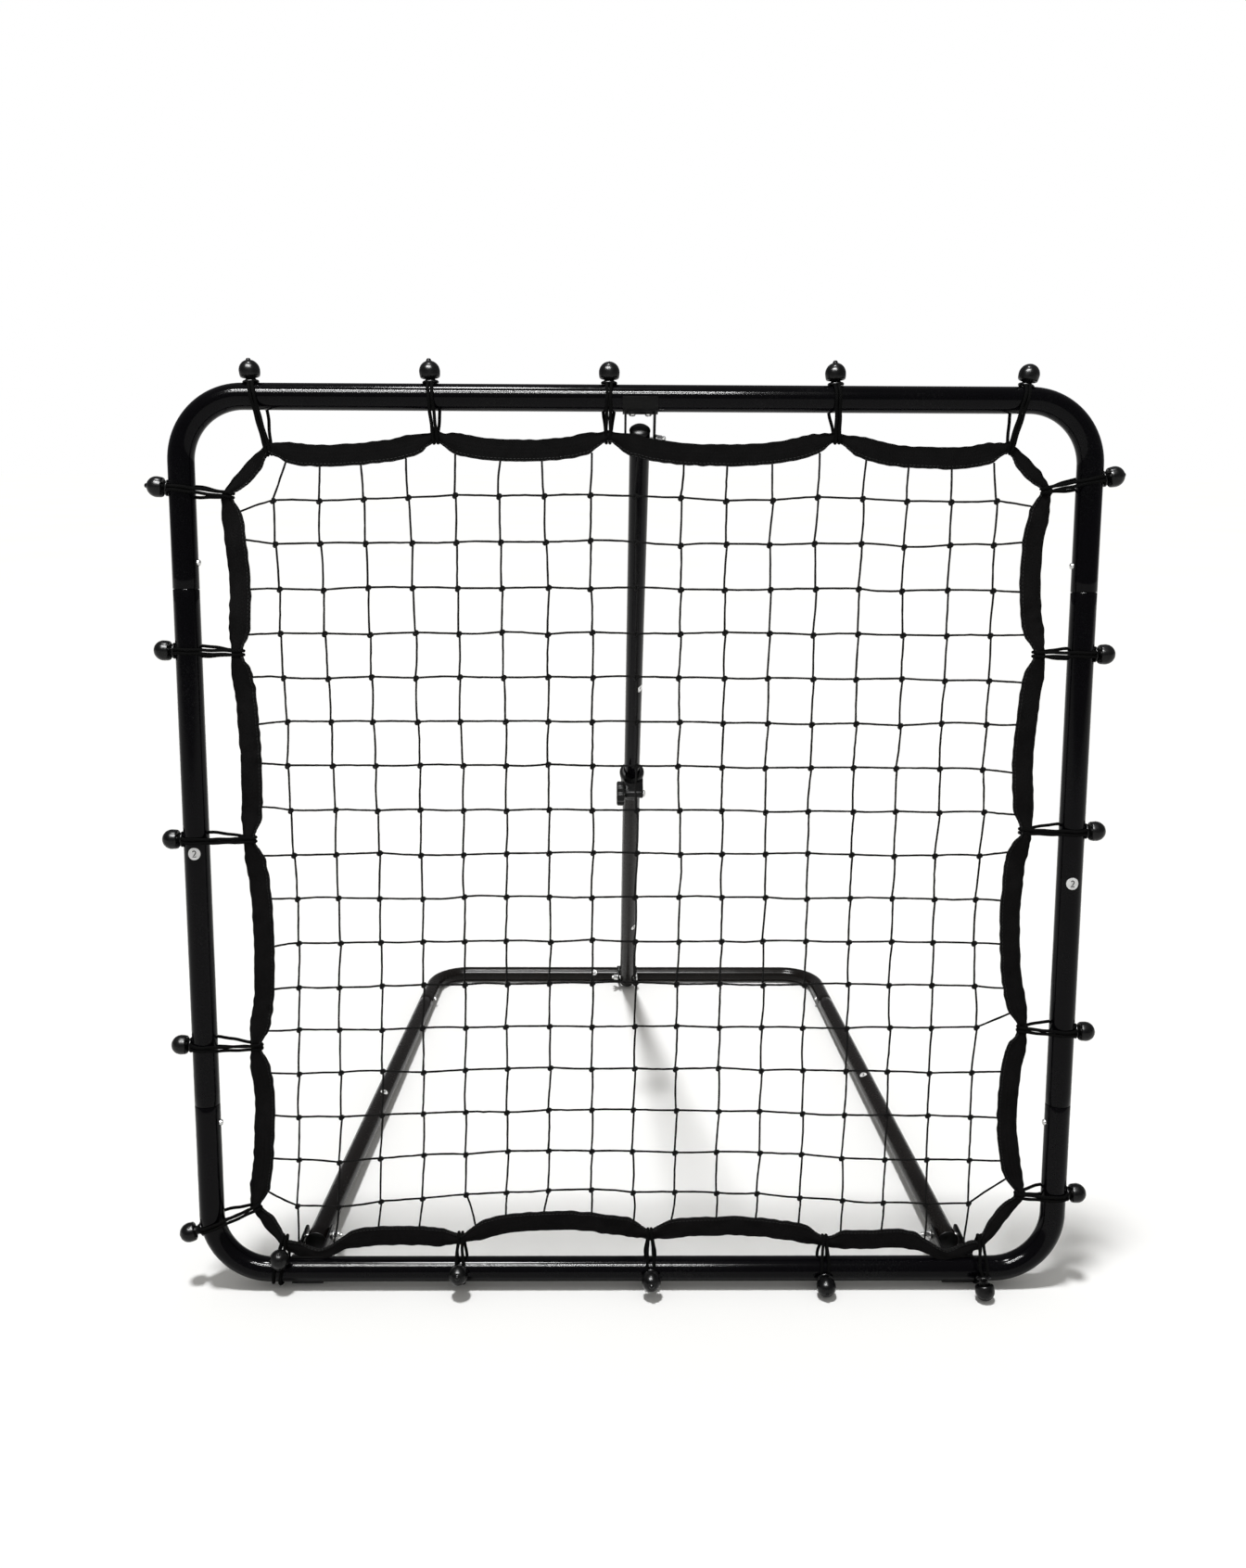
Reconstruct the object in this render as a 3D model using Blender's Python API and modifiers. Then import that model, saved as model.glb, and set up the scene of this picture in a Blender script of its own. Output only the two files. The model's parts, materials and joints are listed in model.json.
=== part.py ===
"""Pitch back rebounder: a sprung net in a leaning square tube frame, hinged to a floor base and propped by a
telescopic rear leg. Metres, +Z up, +X right and -Y towards the player; the object stands on z = 0.
"""

import math

import bmesh
import bpy
from mathutils import Matrix, Vector
from mathutils.geometry import convex_hull_2d

# ---------------------------------------------------------------- driving dimensions

GAP = 0.0003                    # running and seating gap between neighbouring solids

# Net frame, centre line to centre line, in its own upright coordinates
FRAME_WIDTH = 0.972
FRAME_HEIGHT = 0.982
FRAME_LEAN = math.radians(6.5)  # the top leans to the rear
FRAME_BEND = 0.068              # bend radius of the corners, on the centre line
FRAME_TUBE = 0.014              # outer radius
TUBE_WALL = 0.0012
TUBE_SIDES = 12
UPPER_SEAM = 0.780              # heights above the bottom rail where the slip joints show
LOWER_SEAM = 0.200
SLIP_LENGTH = 0.060             # swaged length inside each joint

# Where the frame stands
RAIL_Y = -0.4350                # bottom rail's centre line
RAIL_Z = 0.0197

# Frame hinge, measured from the bottom rail in the frame's own coordinates
HINGE_BACK = 0.062
HINGE_UP = 0.010
HINGE_X = 0.378                 # each hinge's distance from the middle

# Floor base
BASE_TUBE = 0.0125
BASE_REAR = 0.900               # rear rail's distance behind the bottom rail
BASE_REAR_X = 0.341             # rear corners' distance from the middle
BASE_BEND = 0.058
BASE_SEAM = 0.135               # slip joint's distance in front of the rear rail
ARM_NOSE = 0.014                # arm in front of its hinge bolt

# Telescopic leg
LEG_X = 0.003                   # the leg stands a little to the right of the middle
LEG_UPPER_TUBE = 0.011
LEG_LOWER_TUBE = 0.0125
LEG_TOP_BACK = 0.022            # top pivot behind and below the top rail
LEG_TOP_DOWN = 0.040
LEG_FOOT_FORWARD = 0.038        # foot pivot in front of and above the rear rail
LEG_FOOT_UP = 0.010
LEG_NOSE = 0.0115               # upper tube above the top pivot
LEG_TAIL = 0.0115               # lower tube below the foot pivot
LEG_MOUTH = 0.604               # lower tube's mouth, from the top pivot along the leg
LEG_OVERLAP = 0.100             # upper tube inside the lower one
FOOT_SLOT_ALONG = 0.0056        # play of the foot bolt in the lower tube, each way
FOOT_SLOT_ACROSS = 0.0033

# Fasteners and brackets
BOLT = 0.003
HOLE = BOLT + GAP
PLATE = 0.0022
EAR = 0.0120                    # radius of a bracket's ear round its bolt
HINGE_EAR_GAP = 0.0276
LEG_TOP_EAR_GAP = 0.0290
LEG_FOOT_EAR_GAP = 0.0272
BUTTON = 0.0035
BUTTON_PROUD = 0.0030
NUT_HUB = 0.0056
KNOB_GROOVES = 6
CAP_STEM = 0.0060               # how far an end cap's stem reaches into its tube

# Net, border webbing and ball bungees
NET_BAR = 0.004
NET_THICK = 0.002
NET_CELLS = 10
NET_PITCH = 0.098
NET_DROP = 0.008                # middle of the net below the middle of the frame
HEM_HALF = 0.011                # half the webbing's width, and where a bungee gathers it
HEM_HALF_GATHERED = 0.006
HEM_THICK = 0.003
BALL = 0.011
BALL_OUT = 0.0266               # ball's centre outside the tube's centre line
CORD = 0.0036
CORD_PAIR = 0.0072              # the loop's two strands side by side

# Bungees of each side: the ball's place along the side, the place and inset of the gathered hem, and how far
# the hem bows inward on its way to the next bungee. Sides run clockwise from the top left corner.
TOP_BUNGEES = [
    (-0.410, -0.393, 0.051, 0.013),
    (-0.220, -0.215, 0.040, 0.015),
    (-0.030, -0.031, 0.039, 0.018),
    (0.210, 0.213, 0.038, 0.014),
    (0.416, 0.399, 0.048, 0.002),
]
RIGHT_BUNGEES = [
    (0.903, 0.889, 0.044, 0.014),
    (0.713, 0.713, 0.045, 0.009),
    (0.517, 0.517, 0.051, 0.017),
    (0.286, 0.289, 0.043, 0.018),
    (0.092, 0.090, 0.037, 0.002),
]
BOTTOM_BUNGEES = [
    (0.402, 0.403, 0.033, 0.004),
    (0.221, 0.222, 0.033, 0.015),
    (0.021, 0.019, 0.041, 0.020),
    (-0.201, -0.200, 0.037, 0.005),
    (-0.414, -0.404, 0.034, 0.002),
]
# The bottom balls sit round the front of the tube: depth and outward from its centre line
BOTTOM_BALLS = [
    (-0.0304, 0.0118),
    (-0.0247, 0.0100),
    (-0.0265, 0.0019),
    (-0.0260, -0.0056),
    (-0.0166, -0.0208),
]
LEFT_BUNGEES = [
    (0.045, 0.075, 0.049, 0.011),
    (0.270, 0.268, 0.057, 0.013),
    (0.506, 0.506, 0.058, 0.008),
    (0.714, 0.712, 0.052, 0.008),
    (0.888, 0.880, 0.047, 0.002),
]

# ---------------------------------------------------------------- worked-out places


def turn_x(angle):
    return Matrix.Rotation(angle, 3, "X")


def world_yz(y, z):
    return Vector((0.0, y, z))


HALF_WIDTH = FRAME_WIDTH / 2
RAIL = world_yz(RAIL_Y, RAIL_Z)
HINGE = RAIL + turn_x(-FRAME_LEAN) @ world_yz(HINGE_BACK, HINGE_UP)
REAR_RAIL = world_yz(RAIL_Y + BASE_REAR, BASE_TUBE)
BASE_SPAN = (REAR_RAIL - HINGE).length
BASE_PITCH = math.asin((HINGE.z - REAR_RAIL.z) / BASE_SPAN)
LEG_TOP = RAIL + turn_x(-FRAME_LEAN) @ world_yz(LEG_TOP_BACK, FRAME_HEIGHT - LEG_TOP_DOWN)
LEG_FOOT = REAR_RAIL + world_yz(-LEG_FOOT_FORWARD, LEG_FOOT_UP)
LEG_LENGTH = (LEG_FOOT - LEG_TOP).length
LEG_TURN = math.atan2(LEG_FOOT.y - LEG_TOP.y, LEG_TOP.z - LEG_FOOT.z)
ARM_SPLAY = math.atan2(HINGE_X - BASE_REAR_X, BASE_SPAN)

# ---------------------------------------------------------------- scene, materials, shapes


def clear_scene():
    for obj in list(bpy.data.objects):
        bpy.data.objects.remove(obj, do_unlink=True)


def new_collection(name):
    made = bpy.data.collections.new(name)
    bpy.context.scene.collection.children.link(made)
    return made


def paint(name, color, roughness, metallic):
    made = bpy.data.materials.new(name)
    made.use_nodes = True
    shader = made.node_tree.nodes["Principled BSDF"]
    shader.inputs["Base Color"].default_value = (*color, 1.0)
    shader.inputs["Roughness"].default_value = roughness
    shader.inputs["Metallic"].default_value = metallic
    return made


clear_scene()
PARTS = new_collection("pitch_back_rebounder")
CUTTERS = new_collection("cutters")
BLACK_PAINT = paint("black_paint", (0.012, 0.012, 0.014), 0.16, 0.0)
BASE_PAINT = paint("base_paint", (0.022, 0.020, 0.019), 0.34, 0.0)
BRACKET_PAINT = paint("bracket_paint", (0.015, 0.015, 0.015), 0.38, 0.0)
ZINC = paint("zinc", (0.62, 0.62, 0.60), 0.30, 1.0)
BLACK_PLASTIC = paint("black_plastic", (0.020, 0.020, 0.020), 0.48, 0.0)
WEBBING = paint("webbing", (0.012, 0.012, 0.012), 0.90, 0.0)
TWINE = paint("twine", (0.030, 0.030, 0.028), 0.80, 0.0)
ELASTIC = paint("elastic", (0.016, 0.016, 0.016), 0.75, 0.0)


def empty(name, parent=None, location=(0, 0, 0), angle=0.0):
    made = bpy.data.objects.new(name, None)
    made.empty_display_size = 0.03
    made.parent = parent
    made.location = location
    made.rotation_euler = (angle, 0.0, 0.0)
    PARTS.objects.link(made)
    return made


def place(obj, parent, location, rotation):
    obj.parent = parent
    obj.location = location
    obj.rotation_euler = rotation
    return obj


def mesh_object(name, mesh, material, parent, location=(0, 0, 0), rotation=(0, 0, 0)):
    """A sub-part, or a cutter where there is no material."""
    made = bpy.data.objects.new(name, mesh)
    if material is None:
        made.hide_render = True
        made.display_type = "WIRE"
        CUTTERS.objects.link(made)
    else:
        mesh.materials.append(material)
        PARTS.objects.link(made)
    mesh.shade_smooth()
    mesh.set_sharp_from_angle(angle=math.radians(35))
    return place(made, parent, location, rotation)


def mesh_from(name, build):
    """A mesh made by a function that fills a bmesh."""
    shape = bmesh.new()
    build(shape)
    made = bpy.data.meshes.new(name)
    shape.to_mesh(made)
    shape.free()
    return made


def add_cylinder(shape, radius, start, end, sides=16, end_radius=None):
    """A capped cylinder or cone in a bmesh, from start to end."""
    start = Vector(start)
    end = Vector(end)
    along = end - start
    matrix = Matrix.Translation((start + end) / 2) @ along.to_track_quat("Z", "Y").to_matrix().to_4x4()
    far = radius if end_radius is None else end_radius
    return bmesh.ops.create_cone(
        shape, cap_ends=True, segments=sides, radius1=radius, radius2=far, depth=along.length, matrix=matrix
    )["verts"]


def add_box(shape, low, high):
    size = Vector(high) - Vector(low)
    matrix = Matrix.Translation((Vector(low) + Vector(high)) / 2) @ Matrix.Diagonal((*size, 1.0))
    return bmesh.ops.create_cube(shape, size=1.0, matrix=matrix)["verts"]


def cylinder_mesh(name, radius, start, end, sides=16):
    return mesh_from(name, lambda shape: add_cylinder(shape, radius, start, end, sides))


def box_mesh(name, low, high):
    return mesh_from(name, lambda shape: add_box(shape, low, high))


def hull_mesh(name, rounds, low_x, high_x, sides=16):
    """A flat plate square to X: the hull round circles given as (y, z, radius)."""

    def build(shape):
        for y, z, radius in rounds:
            add_cylinder(shape, radius, (low_x, y, z), (high_x, y, z), sides)
        found = bmesh.ops.convex_hull(shape, input=shape.verts)
        loose = [item for item in found["geom_interior"] if isinstance(item, bmesh.types.BMVert)]
        bmesh.ops.delete(shape, geom=loose, context="VERTS")
        inner = [face for face in shape.faces if face not in set(found["geom"])]
        bmesh.ops.delete(shape, geom=inner, context="FACES")
        bmesh.ops.recalc_face_normals(shape, faces=shape.faces)

    return mesh_from(name, build)


def turned(name, profile, material, parent, location=(0, 0, 0), rotation=(0, 0, 0), steps=TUBE_SIDES):
    """A shape turned round its local Z. The profile runs down the outer side as (radius, height) pairs."""
    mesh = bpy.data.meshes.new(name)
    points = [(radius, 0.0, height) for radius, height in profile]
    closed = profile[0][0] > 0.0
    count = len(points)
    edges = [(i, (i + 1) % count) for i in range(count if closed else count - 1)]
    mesh.from_pydata(points, edges, [])
    made = mesh_object(name, mesh, material, parent, location, rotation)
    screw = made.modifiers.new("turn", "SCREW")
    screw.steps = steps
    screw.render_steps = steps
    screw.use_merge_vertices = True
    screw.merge_threshold = 0.00001
    screw.use_smooth_shade = True
    return made


def boolean(obj, other, operation="DIFFERENCE"):
    cut = obj.modifiers.new(operation.lower() + "_" + other.name, "BOOLEAN")
    cut.operation = operation
    cut.object = other
    return obj


def curve_mesh(name, splines, closed, depth=0.0, sides=TUBE_SIDES, extrude=0.0):
    """The mesh of POLY splines: an open-ended tube where depth is given, a filled flat plate otherwise."""
    data = bpy.data.curves.new(name, "CURVE")
    data.dimensions = "3D" if depth else "2D"
    data.fill_mode = "FULL" if depth else "BOTH"
    data.bevel_depth = depth
    data.bevel_resolution = sides // 2 - 2
    data.extrude = extrude
    for points in splines:
        spline = data.splines.new("POLY")
        spline.points.add(len(points) - 1)
        spline.use_cyclic_u = closed
        for target, point in zip(spline.points, points):
            target.co = (*Vector(point).to_3d(), 1.0)
    holder = bpy.data.objects.new(name + "_curve", data)
    bpy.context.scene.collection.objects.link(holder)
    graph = bpy.context.evaluated_depsgraph_get()
    mesh = bpy.data.meshes.new_from_object(holder.evaluated_get(graph))
    bpy.data.objects.remove(holder, do_unlink=True)
    shape = bmesh.new()
    shape.from_mesh(mesh)
    bmesh.ops.remove_doubles(shape, verts=shape.verts, dist=0.00001)
    bmesh.ops.recalc_face_normals(shape, faces=shape.faces)
    shape.to_mesh(mesh)
    shape.free()
    return mesh


def rounded_path(corners, bend, steps=5):
    """The corners of an open path with each inner one rounded to the bend radius."""
    path = [corners[0]]
    for before, corner, after in zip(corners, corners[1:], corners[2:]):
        back = (before - corner).normalized()
        ahead = (after - corner).normalized()
        half = back.angle(ahead) / 2
        centre = corner + (back + ahead).normalized() * bend / math.sin(half)
        start = corner + back * bend / math.tan(half)
        axis = ahead.cross(back)
        for step in range(steps + 1):
            turn = Matrix.Rotation((math.pi - 2 * half) * step / steps, 3, axis)
            path.append(centre + turn @ (start - centre))
    path.append(corners[-1])
    return path


def bent_tube(name, corners, bend, radius, material, parent):
    """A hollow bent tube: an open tube surface with its wall grown inward."""
    mesh = curve_mesh(name, [rounded_path(corners, bend)], closed=False, depth=radius)
    made = mesh_object(name, mesh, material, parent)
    wall = made.modifiers.new("wall", "SOLIDIFY")
    wall.thickness = TUBE_WALL
    wall.offset = -1.0
    wall.use_even_offset = True
    return made


def swage_profile(radius, low, high, slip_low, slip_high):
    """Outline of a straight tube from low to high, with reduced ends of the slip lengths beyond them."""
    slim = radius - TUBE_WALL - GAP
    bore = slim - TUBE_WALL
    wide_bore = radius - TUBE_WALL
    ease = 0.004
    if not slip_low and not slip_high:
        return [(radius, high), (radius, low), (wide_bore, low), (wide_bore, high)]
    outer = [(slim, high + slip_high), (slim, high), (radius, high - GAP)]
    outer += [(radius, low + GAP), (slim, low), (slim, low - slip_low)] if slip_low else [(radius, low)]
    inner = [(bore, low - slip_low), (bore, low + ease)] if slip_low else [(wide_bore, low)]
    return outer + inner + [(bore, high - ease), (bore, high + slip_high)]


# ---------------------------------------------------------------- frame


def frame_rails(datum):
    """The top and bottom U, and the side tubes whose swaged ends slip into them."""
    rails = {}
    outlines = (("frame_top_rail", UPPER_SEAM, FRAME_HEIGHT), ("frame_bottom_rail", LOWER_SEAM, 0.0))
    for name, seam, level in outlines:
        left = [Vector((-HALF_WIDTH, 0.0, seam)), Vector((-HALF_WIDTH, 0.0, level))]
        right = [Vector((HALF_WIDTH, 0.0, level)), Vector((HALF_WIDTH, 0.0, seam))]
        corners = left + right
        rails[name] = bent_tube(name, corners, FRAME_BEND, FRAME_TUBE, BLACK_PAINT, datum)
    profile = swage_profile(FRAME_TUBE, LOWER_SEAM, UPPER_SEAM, SLIP_LENGTH, SLIP_LENGTH)
    for side, name in ((-1, "left"), (1, "right")):
        tube = turned("frame_side_tube_" + name, profile, BLACK_PAINT, datum, (side * HALF_WIDTH, 0, 0))
        for level, rail, height in (
            ("upper", "frame_top_rail", UPPER_SEAM + 0.028),
            ("lower", "frame_bottom_rail", LOWER_SEAM - 0.022),
        ):
            node = "frame_snap_button_" + level + "_" + name
            place_at = (side * HALF_WIDTH, 0.0, height)
            facing = (0.0, -side * math.pi / 2, 0.0)
            snap_button(node, FRAME_TUBE, (rails[rail], tube), datum, place_at, facing)


def snap_button(name, tube_radius, tubes, parent, location, rotation):
    """A domed locking pin with a flange inside the inner tube's wall. Local +Z points out of the tubes."""
    top = tube_radius + BUTTON_PROUD
    seat = tube_radius - 0.0048
    profile = [
        (0.0, top),
        (BUTTON * 0.62, top - 0.0005),
        (BUTTON, top - 0.0021),
        (BUTTON, seat),
        (BUTTON + 0.0013, seat),
        (BUTTON + 0.0013, seat - 0.0012),
        (0.0, seat - 0.0012),
    ]
    turned(name, profile, ZINC, parent, location, rotation, steps=8)
    hole = cylinder_mesh(name + "_hole", BUTTON + GAP, (0, 0, seat - 0.003), (0, 0, top), 10)
    cutter = mesh_object(name + "_hole", hole, None, parent, location, rotation)
    for tube in tubes:
        boolean(tube, cutter)


# ---------------------------------------------------------------- brackets, bolts, nuts


def clevis(name, parent, location, rail_radius, pivot, ear_gap, keep_low, keep_high):
    """A saddle on a rail along X, with two ears out to a bolt at pivot = (y, z) from the rail's centre.

    keep_low and keep_high are the corners of the box, in (y, z), that the sheet metal lies in.
    """
    outside = ear_gap / 2 + PLATE
    saddle_end = outside + 0.002
    saddle = rail_radius + GAP + PLATE
    wrap = cylinder_mesh(name, saddle, (-saddle_end, 0, 0), (saddle_end, 0, 0), 20)
    body = mesh_object(name, wrap, BRACKET_PAINT, parent, location)
    for side, word in ((-1, "left"), (1, "right")):
        low_x, high_x = sorted((side * ear_gap / 2, side * outside))
        rounds = [(0.0, 0.0, saddle - 0.0004), (pivot[0], pivot[1], EAR)]
        plate = hull_mesh(name + "_ear_" + word, rounds, low_x, high_x)
        boolean(body, mesh_object(name + "_ear_" + word, plate, None, parent, location), "UNION")
    reach = 0.2
    rail = cylinder_mesh(name + "_rail", rail_radius + GAP, (-reach, 0, 0), (reach, 0, 0), 20)
    boolean(body, mesh_object(name + "_rail", rail, None, parent, location))
    bolt = cylinder_mesh(name + "_bolt_hole", HOLE, (-reach, *pivot), (reach, *pivot), 12)
    boolean(body, mesh_object(name + "_bolt_hole", bolt, None, parent, location))
    room = box_mesh(name + "_room", (-reach, *keep_low), (reach, *keep_high))
    boolean(body, mesh_object(name + "_room", room, None, parent, location), "INTERSECT")
    return body


def bolt_and_nut(names, parent, location, ear_gap, head_side):
    """A dome-headed bolt along X through a clevis, and the wing nut on its thread; returns both."""
    grip = ear_gap / 2 + PLATE
    turn = (0.0, head_side * math.pi / 2, 0.0)
    nut_height = 0.0075
    tip = grip + nut_height + 0.004
    profile = [
        (0.0, grip + GAP + 0.0034),
        (0.0040, grip + GAP + 0.0028),
        (0.0068, grip + GAP + 0.0008),
        (0.0070, grip + GAP),
        (BOLT, grip + GAP),
        (BOLT, 0.0006 - tip),
        (BOLT - 0.0006, -tip),
        (0.0, -tip),
    ]
    bolt = turned(names[0], profile, ZINC, parent, location, turn, steps=12)
    nut = wing_nut(names[1], parent, location, turn, -grip - GAP, nut_height)
    return bolt, nut


def wing_nut(name, parent, location, rotation, seat, height):
    """A wing nut round local Z, with its base at the seat height and its wings rising towards -Z."""

    def cone(shape):
        add_cylinder(shape, NUT_HUB, (0, 0, seat), (0, 0, seat - height), 12, end_radius=NUT_HUB * 0.8)

    hub = mesh_object(name, mesh_from(name, cone), ZINC, parent, location, rotation)
    wing = [
        (0.0025, 0.0012),
        (0.0062, 0.0016),
        (0.0125, 0.0075),
        (0.0135, 0.0110),
        (0.0105, 0.0120),
        (0.0040, 0.0065),
    ]
    for side, word in ((-1, "a"), (1, "b")):
        outline = [Vector((side * across, seat - rise, 0.0)) for across, rise in wing]
        mesh = curve_mesh(name + "_wing_" + word, [outline], closed=True, extrude=0.0010)
        mesh.transform(Matrix.Rotation(math.pi / 2, 4, "Z") @ Matrix.Rotation(math.pi / 2, 4, "X"))
        boolean(hub, mesh_object(name + "_wing_" + word, mesh, None, parent, location, rotation), "UNION")
    thread = cylinder_mesh(name + "_thread", HOLE, (0, 0, seat + 0.01), (0, 0, seat - 0.02), 12)
    return boolean(hub, mesh_object(name + "_thread", thread, None, parent, location, rotation))


def pan_screw(name, parent, location, rotation, pierced):
    """A pan-head fixing screw: head outside along local +Z, shank through the bracket and the tube wall."""
    profile = [
        (0.0, 0.0022),
        (0.0030, 0.0016),
        (0.0036, GAP),
        (0.0016, GAP),
        (0.0016, -0.0070),
        (0.0, -0.0070),
    ]
    turned(name, profile, ZINC, parent, location, rotation, steps=8)
    hole = cylinder_mesh(name + "_hole", 0.0016 + GAP, (0, 0, 0.002), (0, 0, -0.0085), 10)
    cutter = mesh_object(name + "_hole", hole, None, parent, location, rotation)
    for obj in pierced:
        boolean(obj, cutter)


def end_cap(name, tube_radius, dome, stem, parent, location=(0, 0, 0), rotation=(0, 0, 0)):
    """A plastic plug: its rim covers the tube's end at local z = 0, and its stem goes down the bore."""
    bore = tube_radius - TUBE_WALL - GAP
    profile = [
        (0.0, GAP + dome),
        (tube_radius * 0.62, GAP + dome * 0.84),
        (tube_radius + 0.0004, GAP + 0.0005),
        (tube_radius + 0.0004, GAP),
        (bore, GAP),
        (bore, -stem),
        (0.0, -stem),
    ]
    return turned(name, profile, BLACK_PLASTIC, parent, location, rotation)


# ---------------------------------------------------------------- base


def base_parts(base):
    """The rear U on the floor and the two arms that run forward from it to the hinges."""
    toward = Vector((HINGE_X - BASE_REAR_X, -BASE_SPAN, 0.0)).normalized()
    corner = Vector((BASE_REAR_X, BASE_SPAN, 0.0))
    seam = corner + toward * BASE_SEAM
    mirror = Vector((-1.0, 1.0, 1.0))
    corners = [seam * mirror, corner * mirror, corner, seam]
    rear = bent_tube("base_rear_rail", corners, BASE_BEND, BASE_TUBE, BASE_PAINT, base)
    arm_length = (seam - Vector((HINGE_X, 0.0, 0.0))).length
    profile = swage_profile(BASE_TUBE, -ARM_NOSE, arm_length, 0.0, SLIP_LENGTH)
    for side, name in ((-1, "left"), (1, "right")):
        hinge = (side * HINGE_X, 0.0, 0.0)
        lie = Matrix.Rotation(side * ARM_SPLAY, 4, "Z") @ Matrix.Rotation(-math.pi / 2, 4, "X")
        arm = turned("base_arm_" + name, profile, BASE_PAINT, base, hinge, lie.to_euler())
        hole = cylinder_mesh("base_arm_hole_" + name, HOLE, (-0.03, 0, 0), (0.03, 0, 0), 12)
        boolean(arm, mesh_object("base_arm_hole_" + name, hole, None, base, hinge))
        nose = Vector(hinge) + lie.to_3x3() @ Vector((0.0, 0.0, -ARM_NOSE))
        face = lie @ Matrix.Rotation(math.pi, 4, "X")
        end_cap("base_arm_end_cap_" + name, BASE_TUBE, 0.0022, CAP_STEM, base, nose, face.to_euler())
        button = Vector(hinge) + lie.to_3x3() @ Vector((0.0, 0.0, arm_length + 0.020))
        facing = lie @ Matrix.Rotation(-side * math.pi / 2, 4, "Y")
        snap_button("base_snap_button_" + name, BASE_TUBE, (rear, arm), base, button, facing.to_euler())
    return rear


def hinges(datum, bottom_rail, frame):
    """The two clevises behind the bottom rail, whose bolts carry the base's arms."""
    pivot = (HINGE_BACK, HINGE_UP)
    lean_back = math.radians(52)
    for side, name in ((-1, "left"), (1, "right")):
        body = clevis(
            "base_hinge_bracket_" + name,
            datum,
            (side * HINGE_X, 0, 0),
            FRAME_TUBE,
            pivot,
            HINGE_EAR_GAP,
            (-0.003, -0.020),
            (0.10, 0.05),
        )
        bolt_and_nut(
            ("base_hinge_bolt_" + name, "base_hinge_wing_nut_" + name),
            frame,
            (side * HINGE_X, 0, 0),
            HINGE_EAR_GAP,
            side,
        )
        surface = FRAME_TUBE + GAP + PLATE
        screw_at = (side * HINGE_X, surface * math.sin(lean_back), surface * math.cos(lean_back))
        pan_screw("base_hinge_screw_" + name, datum, screw_at, (-lean_back, 0, 0), (body, bottom_rail))


# ---------------------------------------------------------------- leg


def leg_brackets(datum, top_rail, base, rear_rail):
    """The clevis under the top rail and the one on the front of the rear rail, with their bolts."""
    top = clevis(
        "leg_top_bracket",
        datum,
        (LEG_X, 0, FRAME_HEIGHT),
        FRAME_TUBE,
        (LEG_TOP_BACK, -LEG_TOP_DOWN),
        LEG_TOP_EAR_GAP,
        (-0.020, -0.08),
        (0.05, -0.0055),
    )
    surface = FRAME_TUBE + GAP + PLATE
    for side, name in ((-1, "left"), (1, "right")):
        at = (LEG_X + side * 0.0085, 0.0, FRAME_HEIGHT - surface)
        pan_screw("leg_top_screw_" + name, datum, at, (math.pi, 0, 0), (top, top_rail))
    pivot = turn_x(BASE_PITCH) @ world_yz(-LEG_FOOT_FORWARD, LEG_FOOT_UP)
    clevis(
        "leg_foot_bracket",
        base,
        (LEG_X, BASE_SPAN, 0),
        BASE_TUBE,
        (pivot.y, pivot.z),
        LEG_FOOT_EAR_GAP,
        (-0.08, -0.0118),
        (0.003, 0.05),
    )
    bolt_and_nut(
        ("leg_foot_bolt", "leg_foot_wing_nut"),
        base,
        (LEG_X, BASE_SPAN + pivot.y, pivot.z),
        LEG_FOOT_EAR_GAP,
        1,
    )
    bolt_and_nut(
        ("leg_top_bolt", "leg_top_wing_nut"),
        datum,
        (LEG_X, LEG_TOP_BACK, FRAME_HEIGHT - LEG_TOP_DOWN),
        LEG_TOP_EAR_GAP,
        -1,
    )


def leg_tubes(leg):
    """Upper and lower tubes and their caps. Local Z runs up the leg, and its pivot is at z = 0."""
    upper = turned(
        "leg_upper_tube",
        swage_profile(LEG_UPPER_TUBE, -LEG_MOUTH - LEG_OVERLAP, LEG_NOSE, 0.0, 0.0),
        BLACK_PAINT,
        leg,
    )
    hole = cylinder_mesh("leg_upper_hole", HOLE, (-0.03, 0, 0), (0.03, 0, 0), 12)
    boolean(upper, mesh_object("leg_upper_hole", hole, None, leg))
    end_cap("leg_top_cap", LEG_UPPER_TUBE, 0.0050, CAP_STEM, leg, (0, 0, LEG_NOSE))
    foot_end = -LEG_LENGTH - LEG_TAIL
    lower = turned(
        "leg_lower_tube", swage_profile(LEG_LOWER_TUBE, foot_end, -LEG_MOUTH, 0.0, 0.0), BASE_PAINT, leg
    )
    reach = FOOT_SLOT_ALONG - FOOT_SLOT_ACROSS
    width = BOLT + FOOT_SLOT_ACROSS
    rounds = [(0.0, -LEG_LENGTH - reach, width), (0.0, -LEG_LENGTH + reach, width)]
    slot = mesh_object("leg_foot_slot", hull_mesh("leg_foot_slot", rounds, -0.03, 0.03, 16), None, leg)
    boolean(lower, slot)
    foot_stem = LEG_TAIL - BOLT - FOOT_SLOT_ALONG + GAP
    end_cap("leg_bottom_cap", LEG_LOWER_TUBE, 0.0030, foot_stem, leg, (0, 0, foot_end), (math.pi, 0, 0))


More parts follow.
